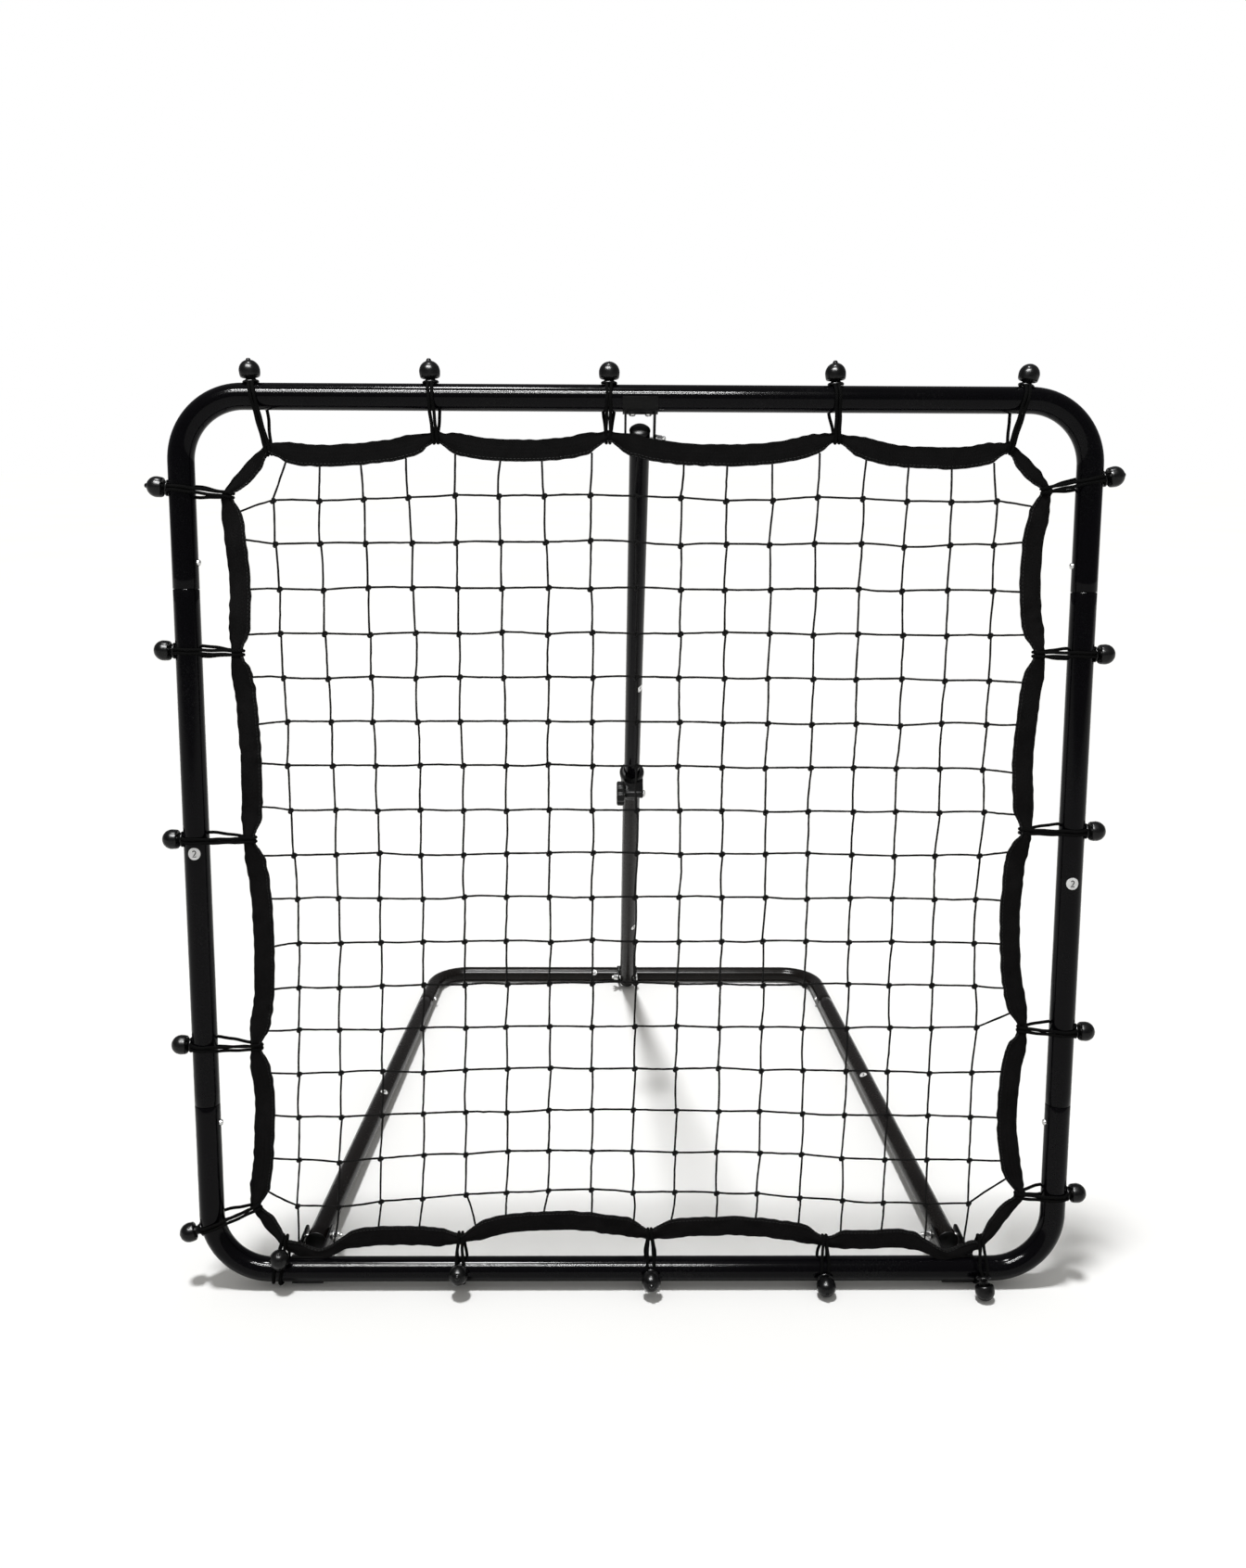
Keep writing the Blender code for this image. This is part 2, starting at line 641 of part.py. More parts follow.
def leg_clamp(leg):
    """The clamp on the lower tube's mouth: a split collar with petals, lugs, a cross bolt and a knob."""
    top = -LEG_MOUTH + 0.0255
    low = -LEG_MOUTH - 0.030
    neck = LEG_UPPER_TUBE + GAP
    sleeve = LEG_LOWER_TUBE + GAP
    collar = sleeve + 0.0027
    profile = [
        (neck + 0.0022, top),
        (neck + 0.0062, top - 0.0045),
        (neck + 0.0058, top - 0.0110),
        (neck + 0.0046, top - 0.0190),
        (collar, -LEG_MOUTH - 0.002),
        (collar, low + 0.006),
        (sleeve + 0.0016, low),
        (sleeve, low),
        (sleeve, -LEG_MOUTH + GAP),
        (neck, -LEG_MOUTH + GAP),
    ]
    body = turned("leg_clamp_body", profile, BLACK_PLASTIC, leg, steps=16)
    knob_radius = 0.0175
    bolt_y = -collar - 0.0145
    bolt_z = -LEG_MOUTH + 0.0085
    lug_left = -0.0098
    lug_right = 0.0160
    rounds = [(bolt_y, bolt_z, 0.0065), (-0.009, bolt_z - 0.002, 0.009)]
    plate = hull_mesh("leg_clamp_lugs", rounds, lug_left, lug_right, 14)
    lugs = mesh_object("leg_clamp_lugs", plate, None, leg)
    bore = cylinder_mesh("leg_clamp_bore", sleeve + 0.001, (0, 0, top), (0, 0, low - 0.01), 20)
    boolean(lugs, mesh_object("leg_clamp_bore", bore, None, leg))
    boolean(body, lugs, "UNION")
    slit_x = 0.0050
    slit_low = (slit_x - 0.001, -0.040, low - 0.01)
    slit_high = (slit_x + 0.001, 0.0, -LEG_MOUTH + 0.0175)
    slit = box_mesh("leg_clamp_slit", slit_low, slit_high)
    boolean(body, mesh_object("leg_clamp_slit", slit, None, leg))
    for side, word in ((-1, "front"), (1, "back")):
        near, far = sorted((0.0, side * 0.03))
        notch = box_mesh("leg_clamp_notch_" + word, (-0.0065, near, top - 0.007), (0.0065, far, top + 0.01))
        boolean(body, mesh_object("leg_clamp_notch_" + word, notch, None, leg))
    hole = cylinder_mesh("leg_clamp_bolt_hole", HOLE, (-0.05, bolt_y, bolt_z), (0.05, bolt_y, bolt_z), 12)
    boolean(body, mesh_object("leg_clamp_bolt_hole", hole, None, leg))

    knob_thick = 0.0118
    at = (0.0, bolt_y, bolt_z)
    turn = (0.0, math.pi / 2, 0.0)
    stem = [
        (0.0, lug_right + GAP + 0.0030),
        (0.0046, lug_right + GAP + 0.0022),
        (0.0050, lug_right + GAP),
        (BOLT, lug_right + GAP),
        (BOLT, lug_left - 0.0080),
        (0.0, lug_left - 0.0080),
    ]
    turned("leg_clamp_bolt", stem, ZINC, leg, at, turn, steps=12)
    inner = lug_left - GAP
    outer = inner - knob_thick
    head = [
        (BOLT + GAP, inner),
        (knob_radius - 0.0030, inner),
        (knob_radius, inner - 0.0030),
        (knob_radius, outer + 0.0030),
        (knob_radius - 0.0025, outer),
        (0.0, outer),
        (0.0, outer + 0.0030),
        (BOLT + GAP, outer + 0.0030),
    ]
    knob = turned("leg_clamp_knob", head, BLACK_PLASTIC, leg, at, turn, steps=18)
    for step in range(KNOB_GROOVES):
        angle = 2 * math.pi * step / KNOB_GROOVES
        across = knob_radius + 0.0015
        low_end = (across * math.cos(angle), across * math.sin(angle), outer - 0.01)
        high_end = (low_end[0], low_end[1], inner + 0.01)
        name = "leg_clamp_knob_groove_" + str(step)
        groove = cylinder_mesh(name, 0.0026, low_end, high_end, 8)
        boolean(knob, mesh_object(name, groove, None, leg, at, turn))


# ---------------------------------------------------------------- net, webbing, bungees


def stations():
    """Every bungee, clockwise from the top left: ball point, hem point and the bow of the hem after it."""
    made = []
    for along, hem, inset, bow in TOP_BUNGEES:
        made.append((Vector((along, FRAME_HEIGHT + BALL_OUT)), Vector((hem, FRAME_HEIGHT - inset)), bow))
    for along, hem, inset, bow in RIGHT_BUNGEES:
        made.append((Vector((HALF_WIDTH + BALL_OUT, along)), Vector((HALF_WIDTH - inset, hem)), bow))
    for along, hem, inset, bow in BOTTOM_BUNGEES:
        made.append((Vector((along, -BALL_OUT)), Vector((hem, inset)), bow))
    for along, hem, inset, bow in LEFT_BUNGEES:
        made.append((Vector((-HALF_WIDTH - BALL_OUT, along)), Vector((-HALF_WIDTH + inset, hem)), bow))
    return made


def hem_spans(places):
    """Chord and inward direction of each span of the hem, from one gather to the next."""
    chords = [after[1] - before[1] for before, after in zip(places, places[1:] + places[:1])]
    return chords, [Vector((chord.y, -chord.x)).normalized() for chord in chords]


def gather_reach(places, index):
    """How far past the hem's centre a bungee's loop reaches, to clear the slanting webbing inside it."""
    chords, inwards = hem_spans(places)
    outward = (places[index][0] - places[index][1]).normalized()
    slants = []
    for span in (index - 1, index):
        slope = math.atan2(4.0 * places[span][2], chords[span].length)
        slants.append(outward.angle(-inwards[span]) + slope)
    return HEM_HALF_GATHERED / math.cos(max(slants)) + CORD_PAIR / 2 * math.tan(max(slants)) + 0.0008


def hem_loop(offset, offset_gathered):
    """A loop beside the hem's scalloped centre line, offset towards the middle where positive."""
    places = stations()
    chords, inwards = hem_spans(places)
    loop = []
    for index, (_, start, bow) in enumerate(places):
        chord = chords[index]
        gathered = (inwards[index - 1] + inwards[index]).normalized()
        loop.append(start + gathered * offset_gathered)
        steps = 5 if chord.length > 0.1 else 2
        for step in range(1, steps):
            t = step / steps
            swell = 1.0 - abs(2.0 * t - 1.0) ** 3
            shift = bow * 4.0 * t * (1.0 - t) + offset_gathered + (offset - offset_gathered) * swell
            loop.append(start + chord * t + inwards[index] * shift)
    return loop


def net_and_hem(datum):
    """The scalloped webbing ring, and the net as a plain grid of bars trimmed to the ring's inside."""
    stand = (math.pi / 2, 0.0, 0.0)
    loops = [hem_loop(-HEM_HALF, -HEM_HALF_GATHERED), hem_loop(HEM_HALF, HEM_HALF_GATHERED)]
    ring = curve_mesh("net_border_webbing", loops, closed=True, extrude=HEM_THICK / 2)
    mesh_object("net_border_webbing", ring, WEBBING, datum, (0, 0, 0), stand)

    def grid(shape):
        half = NET_CELLS * NET_PITCH / 2
        bmesh.ops.create_grid(shape, x_segments=NET_CELLS, y_segments=NET_CELLS, size=half)
        cells = list(shape.faces)
        bmesh.ops.inset_individual(shape, faces=cells, thickness=NET_BAR / 2)
        bmesh.ops.delete(shape, geom=cells, context="FACES")

    centre = (0.0, 0.0, FRAME_HEIGHT / 2 - NET_DROP)
    net = mesh_object("net", mesh_from("net", grid), TWINE, datum, centre, stand)
    thick = net.modifiers.new("thickness", "SOLIDIFY")
    thick.thickness = NET_THICK
    thick.offset = 0.0
    inside = HEM_HALF + 0.0005
    outline = hem_loop(inside, inside + 0.009)
    area = curve_mesh("net_area", [outline], closed=True, extrude=0.01)
    boolean(net, mesh_object("net_area", area, None, datum, (0, 0, 0), stand), "INTERSECT")


def tube_distance(point):
    """Signed distance of a point in the frame plane from the frame's centre line, positive outside."""
    middle = Vector((0.0, FRAME_HEIGHT / 2))
    reach = Vector((HALF_WIDTH - FRAME_BEND, FRAME_HEIGHT / 2 - FRAME_BEND))
    beyond = Vector((abs(point.x - middle.x) - reach.x, abs(point.y - middle.y) - reach.y))
    outside = Vector((max(beyond.x, 0.0), max(beyond.y, 0.0))).length
    return outside + min(max(beyond.x, beyond.y), 0.0) - FRAME_BEND


def crossing(ball, hem):
    """Where the line from hem to ball crosses the frame's centre line."""
    low, high = 0.0, 1.0
    for _ in range(30):
        middle = (low + high) / 2
        if tube_distance(hem.lerp(ball, middle)) < 0.0:
            low = middle
        else:
            high = middle
    return hem.lerp(ball, low)


def circle_points(centre, radius, sides):
    angles = [2 * math.pi * step / sides for step in range(sides)]
    return [Vector(centre) + Vector((math.cos(angle), math.sin(angle))) * radius for angle in angles]


def hull_loop(rounds):
    points = [point for centre, radius, sides in rounds for point in circle_points(centre, radius, sides)]
    return [points[index] for index in convex_hull_2d(points)]


def ball_bungee(name, ball, hem, reach, front, datum):
    """A ball on an elastic loop round the tube and the gathered hem. Local X is depth, Y runs outward."""
    centre = crossing(ball, hem)
    outward = (ball - hem).normalized()
    hem_end = (0.0, -(centre - hem).length - reach)
    at = front or (0.0, (ball - centre).length)
    neck = (at[0] * 0.72, at[1] * 0.72)
    wrap = FRAME_TUBE + 0.0016
    loops = []
    for grow in (CORD, 0.0):
        rounds = [((0.0, 0.0), wrap + grow, 12), (hem_end, 0.0024 + grow, 6), (neck, 0.0012 + grow, 4)]
        loops.append(hull_loop(rounds))
    mesh = curve_mesh(name, loops, closed=True, extrude=CORD_PAIR / 2)
    across = Vector((outward.x, 0.0, outward.y))
    depth = Vector((0.0, 1.0, 0.0))
    turn = Matrix((depth, across, depth.cross(across))).transposed().to_euler()
    place_at = (centre.x, 0.0, centre.y)
    loop = mesh_object(name, mesh, ELASTIC, datum, place_at, turn)

    def sphere(shape):
        swing = Matrix.Rotation(math.pi / 2, 4, "Y") if front else Matrix.Rotation(-math.pi / 2, 4, "X")
        matrix = Matrix.Translation((at[0], at[1], 0.0)) @ swing
        bmesh.ops.create_uvsphere(shape, u_segments=8, v_segments=5, radius=BALL, matrix=matrix)

    round_mesh = mesh_from(name + "_ball", sphere)
    return boolean(loop, mesh_object(name + "_ball", round_mesh, None, datum, place_at, turn), "UNION")


def bungees(datum):
    places = stations()
    fronts = dict(enumerate(BOTTOM_BALLS, len(TOP_BUNGEES) + len(RIGHT_BUNGEES)))
    for index, (ball, hem, _) in enumerate(places):
        reach = gather_reach(places, index)
        ball_bungee("ball_bungee_%02d" % (index + 1), ball, hem, reach, fronts.get(index), datum)


# ---------------------------------------------------------------- assembly


def build():
    base = empty("base_frame", None, HINGE, -BASE_PITCH)
    frame = empty("frame_tilt_axis", None, HINGE, -FRAME_LEAN)
    datum = empty("frame_datum", frame, (0.0, -HINGE_BACK, -HINGE_UP))
    leg = empty("leg_pivot_axis", None, LEG_TOP + Vector((LEG_X, 0.0, 0.0)), LEG_TURN)
    rear_rail = base_parts(base)
    frame_rails(datum)
    hinges(datum, bpy.data.objects["frame_bottom_rail"], frame)
    leg_brackets(datum, bpy.data.objects["frame_top_rail"], base, rear_rail)
    leg_tubes(leg)
    leg_clamp(leg)
    net_and_hem(datum)
    bungees(datum)


build()
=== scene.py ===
"""Looks of the pitch back rebounder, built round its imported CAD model. Metres, +Z up, -Y towards the player.

Each piece is made in the coordinates of the part that it belongs to (net frame, floor base or leg), is placed in
the row frame, rides on that part's body and stands for that part's CAD nodes.
"""

import json
import math

import bmesh
import bpy
import numpy as np
from mathutils import Matrix, Vector
from mathutils.geometry import convex_hull_2d


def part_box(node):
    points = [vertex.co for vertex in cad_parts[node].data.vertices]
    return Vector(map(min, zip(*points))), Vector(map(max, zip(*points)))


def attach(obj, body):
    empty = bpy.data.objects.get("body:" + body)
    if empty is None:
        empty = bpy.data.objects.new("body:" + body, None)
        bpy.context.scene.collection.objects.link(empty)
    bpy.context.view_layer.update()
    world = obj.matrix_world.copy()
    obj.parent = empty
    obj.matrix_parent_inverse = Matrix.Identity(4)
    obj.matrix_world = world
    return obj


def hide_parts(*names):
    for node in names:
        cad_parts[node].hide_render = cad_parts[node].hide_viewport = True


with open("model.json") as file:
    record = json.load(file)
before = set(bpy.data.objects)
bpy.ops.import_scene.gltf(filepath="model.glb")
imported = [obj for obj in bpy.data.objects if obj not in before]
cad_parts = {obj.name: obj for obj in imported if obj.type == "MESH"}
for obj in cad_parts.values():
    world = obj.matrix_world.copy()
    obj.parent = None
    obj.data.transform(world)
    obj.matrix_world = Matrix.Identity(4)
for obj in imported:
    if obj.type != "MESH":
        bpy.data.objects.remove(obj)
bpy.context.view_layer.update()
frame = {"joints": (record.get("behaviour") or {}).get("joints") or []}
JOINTS = {joint["name"]: joint for joint in frame["joints"]}

# ---------------------------------------------------------------- dimensions, as in the CAD model

FRAME_WIDTH = 0.972
FRAME_HEIGHT = 0.982
FRAME_LEAN = math.radians(6.5)
FRAME_BEND = 0.068
FRAME_TUBE = 0.014
UPPER_SEAM = 0.780
LOWER_SEAM = 0.200
HINGE_BACK = 0.062
HINGE_UP = 0.010
HINGE_X = 0.378
BASE_TUBE = 0.0125
BASE_REAR_X = 0.341
BASE_BEND = 0.058
BASE_SEAM = 0.135
ARM_NOSE = 0.014
LEG_UPPER_TUBE = 0.011
LEG_LOWER_TUBE = 0.0125
TUBE_WALL = 0.0012
LEG_TOP_BACK = 0.022
LEG_TOP_DOWN = 0.040
LEG_NOSE = 0.0115
LEG_TAIL = 0.0115
LEG_MOUTH = 0.604
LEG_OVERLAP = 0.100
BOLT = 0.003
PLATE = 0.0022
EAR = 0.0120
HINGE_EAR_GAP = 0.0276
LEG_TOP_EAR_GAP = 0.0290
LEG_FOOT_EAR_GAP = 0.0272
BUTTON = 0.0035
BUTTON_PROUD = 0.0030
GAP = 0.0003
SWAGE = 0.060                   # a slim tube end's reach into the next tube
SLIP = 0.01                     # and how far it starts inside its own tube
HOLE_REACH = 0.03               # half-length of a cutter through a tube
NUT_HEIGHT = 0.0075
HEAD_RADIUS = 0.0070
TUBE_SIDES = 48
TUBE_STEPS = 40

HEM_SIDES = 44
HEM_HALF = 0.0115
HEM_HALF_GATHERED = 0.0055
HEM_THICK_GATHERED = 0.0030     # half-thickness
BALL = 0.011
BALL_OUT = 0.0266
CORD = 0.0018                   # radius of one strand of elastic
NET_COLUMNS = 17
NET_ROWS = 17

# Ball's place along its side, gathered hem's place and inset, bow of the hem after it; clockwise from top left
TOP_BUNGEES = [
    (-0.410, -0.393, 0.053, 0.013),
    (-0.220, -0.215, 0.040, 0.015),
    (-0.030, -0.031, 0.039, 0.020),
    (0.210, 0.213, 0.038, 0.017),
    (0.416, 0.399, 0.048, 0.002),
]
RIGHT_BUNGEES = [
    (0.903, 0.889, 0.044, 0.014),
    (0.713, 0.713, 0.045, 0.009),
    (0.517, 0.517, 0.051, 0.017),
    (0.286, 0.289, 0.043, 0.018),
    (0.092, 0.090, 0.037, 0.002),
]
BOTTOM_BUNGEES = [
    (0.402, 0.403, 0.033, 0.004),
    (0.221, 0.222, 0.033, 0.015),
    (0.021, 0.019, 0.041, 0.020),
    (-0.201, -0.200, 0.037, 0.005),
    (-0.414, -0.404, 0.034, 0.002),
]
LEFT_BUNGEES = [
    (0.045, 0.075, 0.049, 0.011),
    (0.270, 0.268, 0.057, 0.013),
    (0.506, 0.506, 0.058, 0.008),
    (0.714, 0.712, 0.052, 0.008),
    (0.888, 0.880, 0.047, 0.002),
]

# The bottom balls sit round the front of the tube: depth and outward from its centre line, and the balls' bearing
BOTTOM_BALLS = [
    (-0.0304, 0.0118, 74),
    (-0.0247, 0.0100, 22),
    (-0.0265, 0.0019, 4),
    (-0.0260, -0.0056, -12),
    (-0.0166, -0.0208, -51),
]
# The webbing is pushed down towards the rail behind each base hinge: place, depth of the dip and its spread
HINGE_DIPS = [(-0.363, 0.0190, 0.031), (0.364, 0.0175, 0.032)]

# ---------------------------------------------------------------- places, worked out from the joints

HALF_WIDTH = FRAME_WIDTH / 2
HINGE = Vector(JOINTS["frame_tilt"]["pos_m"])
LEG_TOP = Vector(JOINTS["leg_top_pivot"]["pos_m"])
LEG_FOOT = Vector(JOINTS["leg_foot_wing_nut_turn"]["pos_m"])
LEG_X = LEG_TOP.x
LEG_LENGTH = (LEG_TOP - LEG_FOOT).length
LEG_TURN = math.atan2(LEG_FOOT.y - LEG_TOP.y, LEG_TOP.z - LEG_FOOT.z)
REAR_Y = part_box("base_rear_rail")[1].y - BASE_TUBE
BASE_SPAN = math.hypot(REAR_Y - HINGE.y, BASE_TUBE - HINGE.z)
BASE_PITCH = math.asin((HINGE.z - BASE_TUBE) / BASE_SPAN)
ARM_SPLAY = math.atan2(HINGE_X - BASE_REAR_X, BASE_SPAN)


def shift(x, y, z):
    return Matrix.Translation((x, y, z))


def turn(degrees, axis):
    return Matrix.Rotation(math.radians(degrees), 4, axis)


HINGE_FRAME = Matrix.Translation(HINGE) @ Matrix.Rotation(-FRAME_LEAN, 4, "X")
NET_FRAME = HINGE_FRAME @ shift(0.0, -HINGE_BACK, -HINGE_UP)
BASE = Matrix.Translation(HINGE) @ Matrix.Rotation(-BASE_PITCH, 4, "X")
LEG = Matrix.Translation(LEG_TOP) @ Matrix.Rotation(LEG_TURN, 4, "X")
FOOT_IN_BASE = BASE.inverted() @ LEG_FOOT

# ---------------------------------------------------------------- shapes


class Shape:
    """Closed surfaces gathered for one piece, with UVs in metres and a material number for each face."""

    def __init__(self):
        self.points = []
        self.faces = []
        self.uvs = []
        self.paints = []
        self.count = 0

    def add(self, part, matrix=None, paint=0):
        points, faces, uvs = part
        points = np.asarray(points, float)
        if matrix is not None:
            placed = np.array(matrix)
            points = points @ placed[:3, :3].T + placed[:3, 3]
        self.points.append(points)
        self.faces.extend([[corner + self.count for corner in face] for face in faces])
        self.uvs.extend(uvs)
        self.paints.extend([paint] * len(faces))
        self.count += len(points)
        return self

    def to_mesh(self, name, matrix):
        placed = np.array(matrix)
        points = np.concatenate(self.points) @ placed[:3, :3].T + placed[:3, 3]
        mesh = bpy.data.meshes.new(name)
        mesh.from_pydata(points.tolist(), [], self.faces)
        layer = mesh.uv_layers.new(name="strand")
        layer.data.foreach_set("uv", np.concatenate([np.asarray(uv).ravel() for uv in self.uvs]).astype(np.float32))
        mesh.polygons.foreach_set("material_index", np.array(self.paints, np.int32))
        shape = bmesh.new()
        shape.from_mesh(mesh)
        bmesh.ops.recalc_face_normals(shape, faces=shape.faces)
        shape.to_mesh(mesh)
        shape.free()
        return mesh


def grid_part(rings, closed=False, girth=None, along=None):
    """A part from rings of equal count, shaped (rings, sides, 3); a closed one joins its last ring to its first."""
    rings = np.asarray(rings, float)
    count, sides = rings.shape[:2]
    if along is None:
        centres = rings.mean(axis=1)
        steps = np.linalg.norm(np.diff(centres, axis=0), axis=1)
        along = np.concatenate([[0.0], np.cumsum(steps)])
    if girth is None:
        girth = np.linalg.norm(rings[0] - np.roll(rings[0], -1, axis=0), axis=1).sum()
    faces, uvs = [], []
    rows = count if closed else count - 1
    closing = along[-1] + (along[-1] - along[-2])
    for row in range(rows):
        after = (row + 1) % count
        low = along[row]
        high = along[after] if after else closing
        for side in range(sides):
            beside = (side + 1) % sides
            faces.append([row * sides + side, row * sides + beside, after * sides + beside, after * sides + side])
            left = side / sides * girth
            right = (side + 1) / sides * girth
            uvs.append([(left, low), (right, low), (right, high), (left, high)])
    if not closed:
        for row in (0, count - 1):
            faces.append([row * sides + side for side in range(sides)])
            uvs.append([(0.0, along[row])] * sides)
    return rings.reshape(-1, 3), faces, uvs


def sweep_rings(path, radius, sides=16, closed=False, up=(0.0, 0.0, 1.0)):
    """Rings round a path, kept from twisting, and the run of the path; radius is one value or one for each point."""
    path = np.asarray([tuple(point) for point in path], float)
    count = len(path)
    radius = np.broadcast_to(np.asarray(radius, float), (count,))
    if closed:
        tangents = np.roll(path, -1, axis=0) - np.roll(path, 1, axis=0)
    else:
        tangents = np.gradient(path, axis=0)
    tangents /= np.linalg.norm(tangents, axis=1)[:, None]
    normal = np.asarray(up, float)
    if abs(normal @ tangents[0]) > 0.9:
        normal = np.array([1.0, 0.0, 0.0])
    normals = np.empty_like(path)
    for index in range(count):
        normal = normal - (normal @ tangents[index]) * tangents[index]
        normal /= np.linalg.norm(normal)
        normals[index] = normal
    across = np.cross(tangents, normals)
    if closed:
        end = normals[-1] - (normals[-1] @ tangents[0]) * tangents[0]
        miss = math.atan2(end @ across[0], end @ normals[0])
        unwind = -miss * np.arange(count) / count
        normals = normals * np.cos(unwind)[:, None] + across * np.sin(unwind)[:, None]
        across = np.cross(tangents, normals)
    angles = 2 * math.pi * np.arange(sides) / sides
    wheel = normals[:, None] * np.cos(angles)[None, :, None] + across[:, None] * np.sin(angles)[None, :, None]
    steps = np.linalg.norm(np.diff(path, axis=0), axis=1)
    return path[:, None] + wheel * radius[:, None, None], np.concatenate([[0.0], np.cumsum(steps)])


def sweep(path, radius, sides=16, closed=False, up=(0.0, 0.0, 1.0)):
    """A round bar along a path."""
    rings, along = sweep_rings(path, radius, sides, closed, up)
    return grid_part(rings, closed=closed, girth=2 * math.pi * float(np.max(radius)), along=along)


def lathe(profile, steps, closed=False):
    """A shape turned round Z. Ends at radius 0 become poles; a closed profile makes a ring."""
    points, faces, uvs, rings = [], [], [], []
    widest = max(radius for radius, _ in profile)
    for radius, height in profile:
        start = len(points)
        if radius < 1e-7:
            points.append((0.0, 0.0, height))
            rings.append([start] * steps)
            continue
        for step in range(steps):
            angle = 2 * math.pi * step / steps
            points.append((radius * math.cos(angle), radius * math.sin(angle), height))
        rings.append([start + step for step in range(steps)])
    run = [0.0]
    ends = list(zip(profile, profile[1:]))
    if closed:
        ends.append((profile[-1], profile[0]))
        rings.append(rings[0])
    for before, after in ends:
        run.append(run[-1] + math.dist(before, after))
    for row, (lower, upper) in enumerate(zip(rings, rings[1:])):
        for step in range(steps):
            beside = (step + 1) % steps
            left = 2 * math.pi * widest * step / steps
            right = 2 * math.pi * widest * (step + 1) / steps
            corners = [
                (lower[step], (left, run[row])),
                (lower[beside], (right, run[row])),
                (upper[beside], (right, run[row + 1])),
                (upper[step], (left, run[row + 1])),
            ]
            kept = [corner for place, corner in enumerate(corners) if corner[0] != corners[place - 1][0]]
            faces.append([corner[0] for corner in kept])
            uvs.append([corner[1] for corner in kept])
    return np.array(points), faces, uvs


def dome(radius, base, rise, steps, last=90, power=1.0):
    """Part of a lathe profile: a quarter round from near the pole out to the last angle, in degrees."""
    angles = [math.radians(last * step / steps) for step in range(1, steps + 1)]
    return [(radius * math.sin(a), base + rise * math.cos(a) ** power) for a in angles]


def inset(outline, distance):
    """The closed outline moved inward by a distance; it runs anticlockwise."""
    outline = np.asarray(outline, float)
    ahead = np.roll(outline, -1, axis=0) - outline
    ahead /= np.linalg.norm(ahead, axis=1)[:, None]
    inward = np.stack([-ahead[:, 1], ahead[:, 0]], axis=1)
    bisector = inward + np.roll(inward, 1, axis=0)
    reach = np.maximum((bisector * inward).sum(axis=1), 0.35)
    return outline + bisector / reach[:, None] * distance


def prism(outline, low, high, edge=0.0004):
    """A plate square to X with softened rims, from its outline in (y, z)."""
    outline = np.asarray([tuple(point) for point in outline], float)
    after = np.roll(outline, -1, axis=0)
    if (outline[:, 0] * after[:, 1] - outline[:, 1] * after[:, 0]).sum() < 0:
        outline = outline[::-1]
    rings = []
    for x, pulled in (
        (low, edge),
        (low + edge * 0.3, edge * 0.3),
        (low + edge, 0.0),
        (high - edge, 0.0),
        (high - edge * 0.3, edge * 0.3),
        (high, edge),
    ):
        rim = inset(outline, pulled)
        rings.append(np.column_stack([np.full(len(rim), x), rim]))
    return grid_part(rings)


def arc(centre, radius, start, end, steps):
    """Points (across, up) on an arc, with angles in degrees."""
    angles = [math.radians(start + (end - start) * step / steps) for step in range(steps + 1)]
    return [(centre[0] + radius * math.cos(a), centre[1] + radius * math.sin(a)) for a in angles]


def hull(points):
    points = [Vector(point) for point in points]
    return [tuple(points[index]) for index in convex_hull_2d(points)]


def rounded_path(corners, bend):
    """Points along straight runs with each inner corner rounded to the bend radius."""
    steps, spacing = 24, 0.012
    corners = [Vector(corner) for corner in corners]
    path = [corners[0]]

    def straight_to(goal):
        start = path[-1].copy()
        count = max(1, round((goal - start).length / spacing))
        path.extend(start.lerp(goal, step / count) for step in range(1, count + 1))

    for before, corner, after in zip(corners, corners[1:], corners[2:]):
        back = (before - corner).normalized()
        ahead = (after - corner).normalized()
        half = back.angle(ahead) / 2
        centre = corner + (back + ahead).normalized() * bend / math.sin(half)
        start = corner + back * bend / math.tan(half)
        axis = ahead.cross(back)
        straight_to(start)
        for step in range(1, steps + 1):
            swing = Matrix.Rotation((math.pi - 2 * half) * step / steps, 3, axis)
            path.append(centre + swing @ (start - centre))
    straight_to(corners[-1])
    return path


def soft_rims(path, radius, edge):
    """The path and radii of a tube with its two rims rounded off."""
    path = [Vector(point) for point in path]
    first = (path[1] - path[0]).normalized()
    last = (path[-2] - path[-1]).normalized()
    start = [path[0], path[0] + first * edge * 0.3, path[0] + first * edge]
    end = [path[-1] + last * edge, path[-1] + last * edge * 0.3, path[-1]]
    rims = [radius - edge, radius - edge * 0.35, radius]
    return start + path[1:-1] + end, rims + [radius] * (len(path) - 2) + rims[::-1]


def softened_tube(path, radius):
    """A solid tube along a path, with its two rims rounded off."""
    return sweep(*soft_rims(path, radius, 0.0007), TUBE_SIDES)


def solid(name, shape, place):
    obj = bpy.data.objects.new(name, shape.to_mesh(name, place))
    bpy.context.scene.collection.objects.link(obj)
    return obj


def boolean(obj, other, operation):
    """Applies a Boolean and removes the other object."""
    step = obj.modifiers.new(operation, "BOOLEAN")
    step.operation = operation
    step.object = other
    step.solver = "EXACT"
    step.use_self = True
    graph = bpy.context.evaluated_depsgraph_get()
    obj.data = bpy.data.meshes.new_from_object(obj.evaluated_get(graph))
    obj.modifiers.clear()
    bpy.data.objects.remove(other, do_unlink=True)


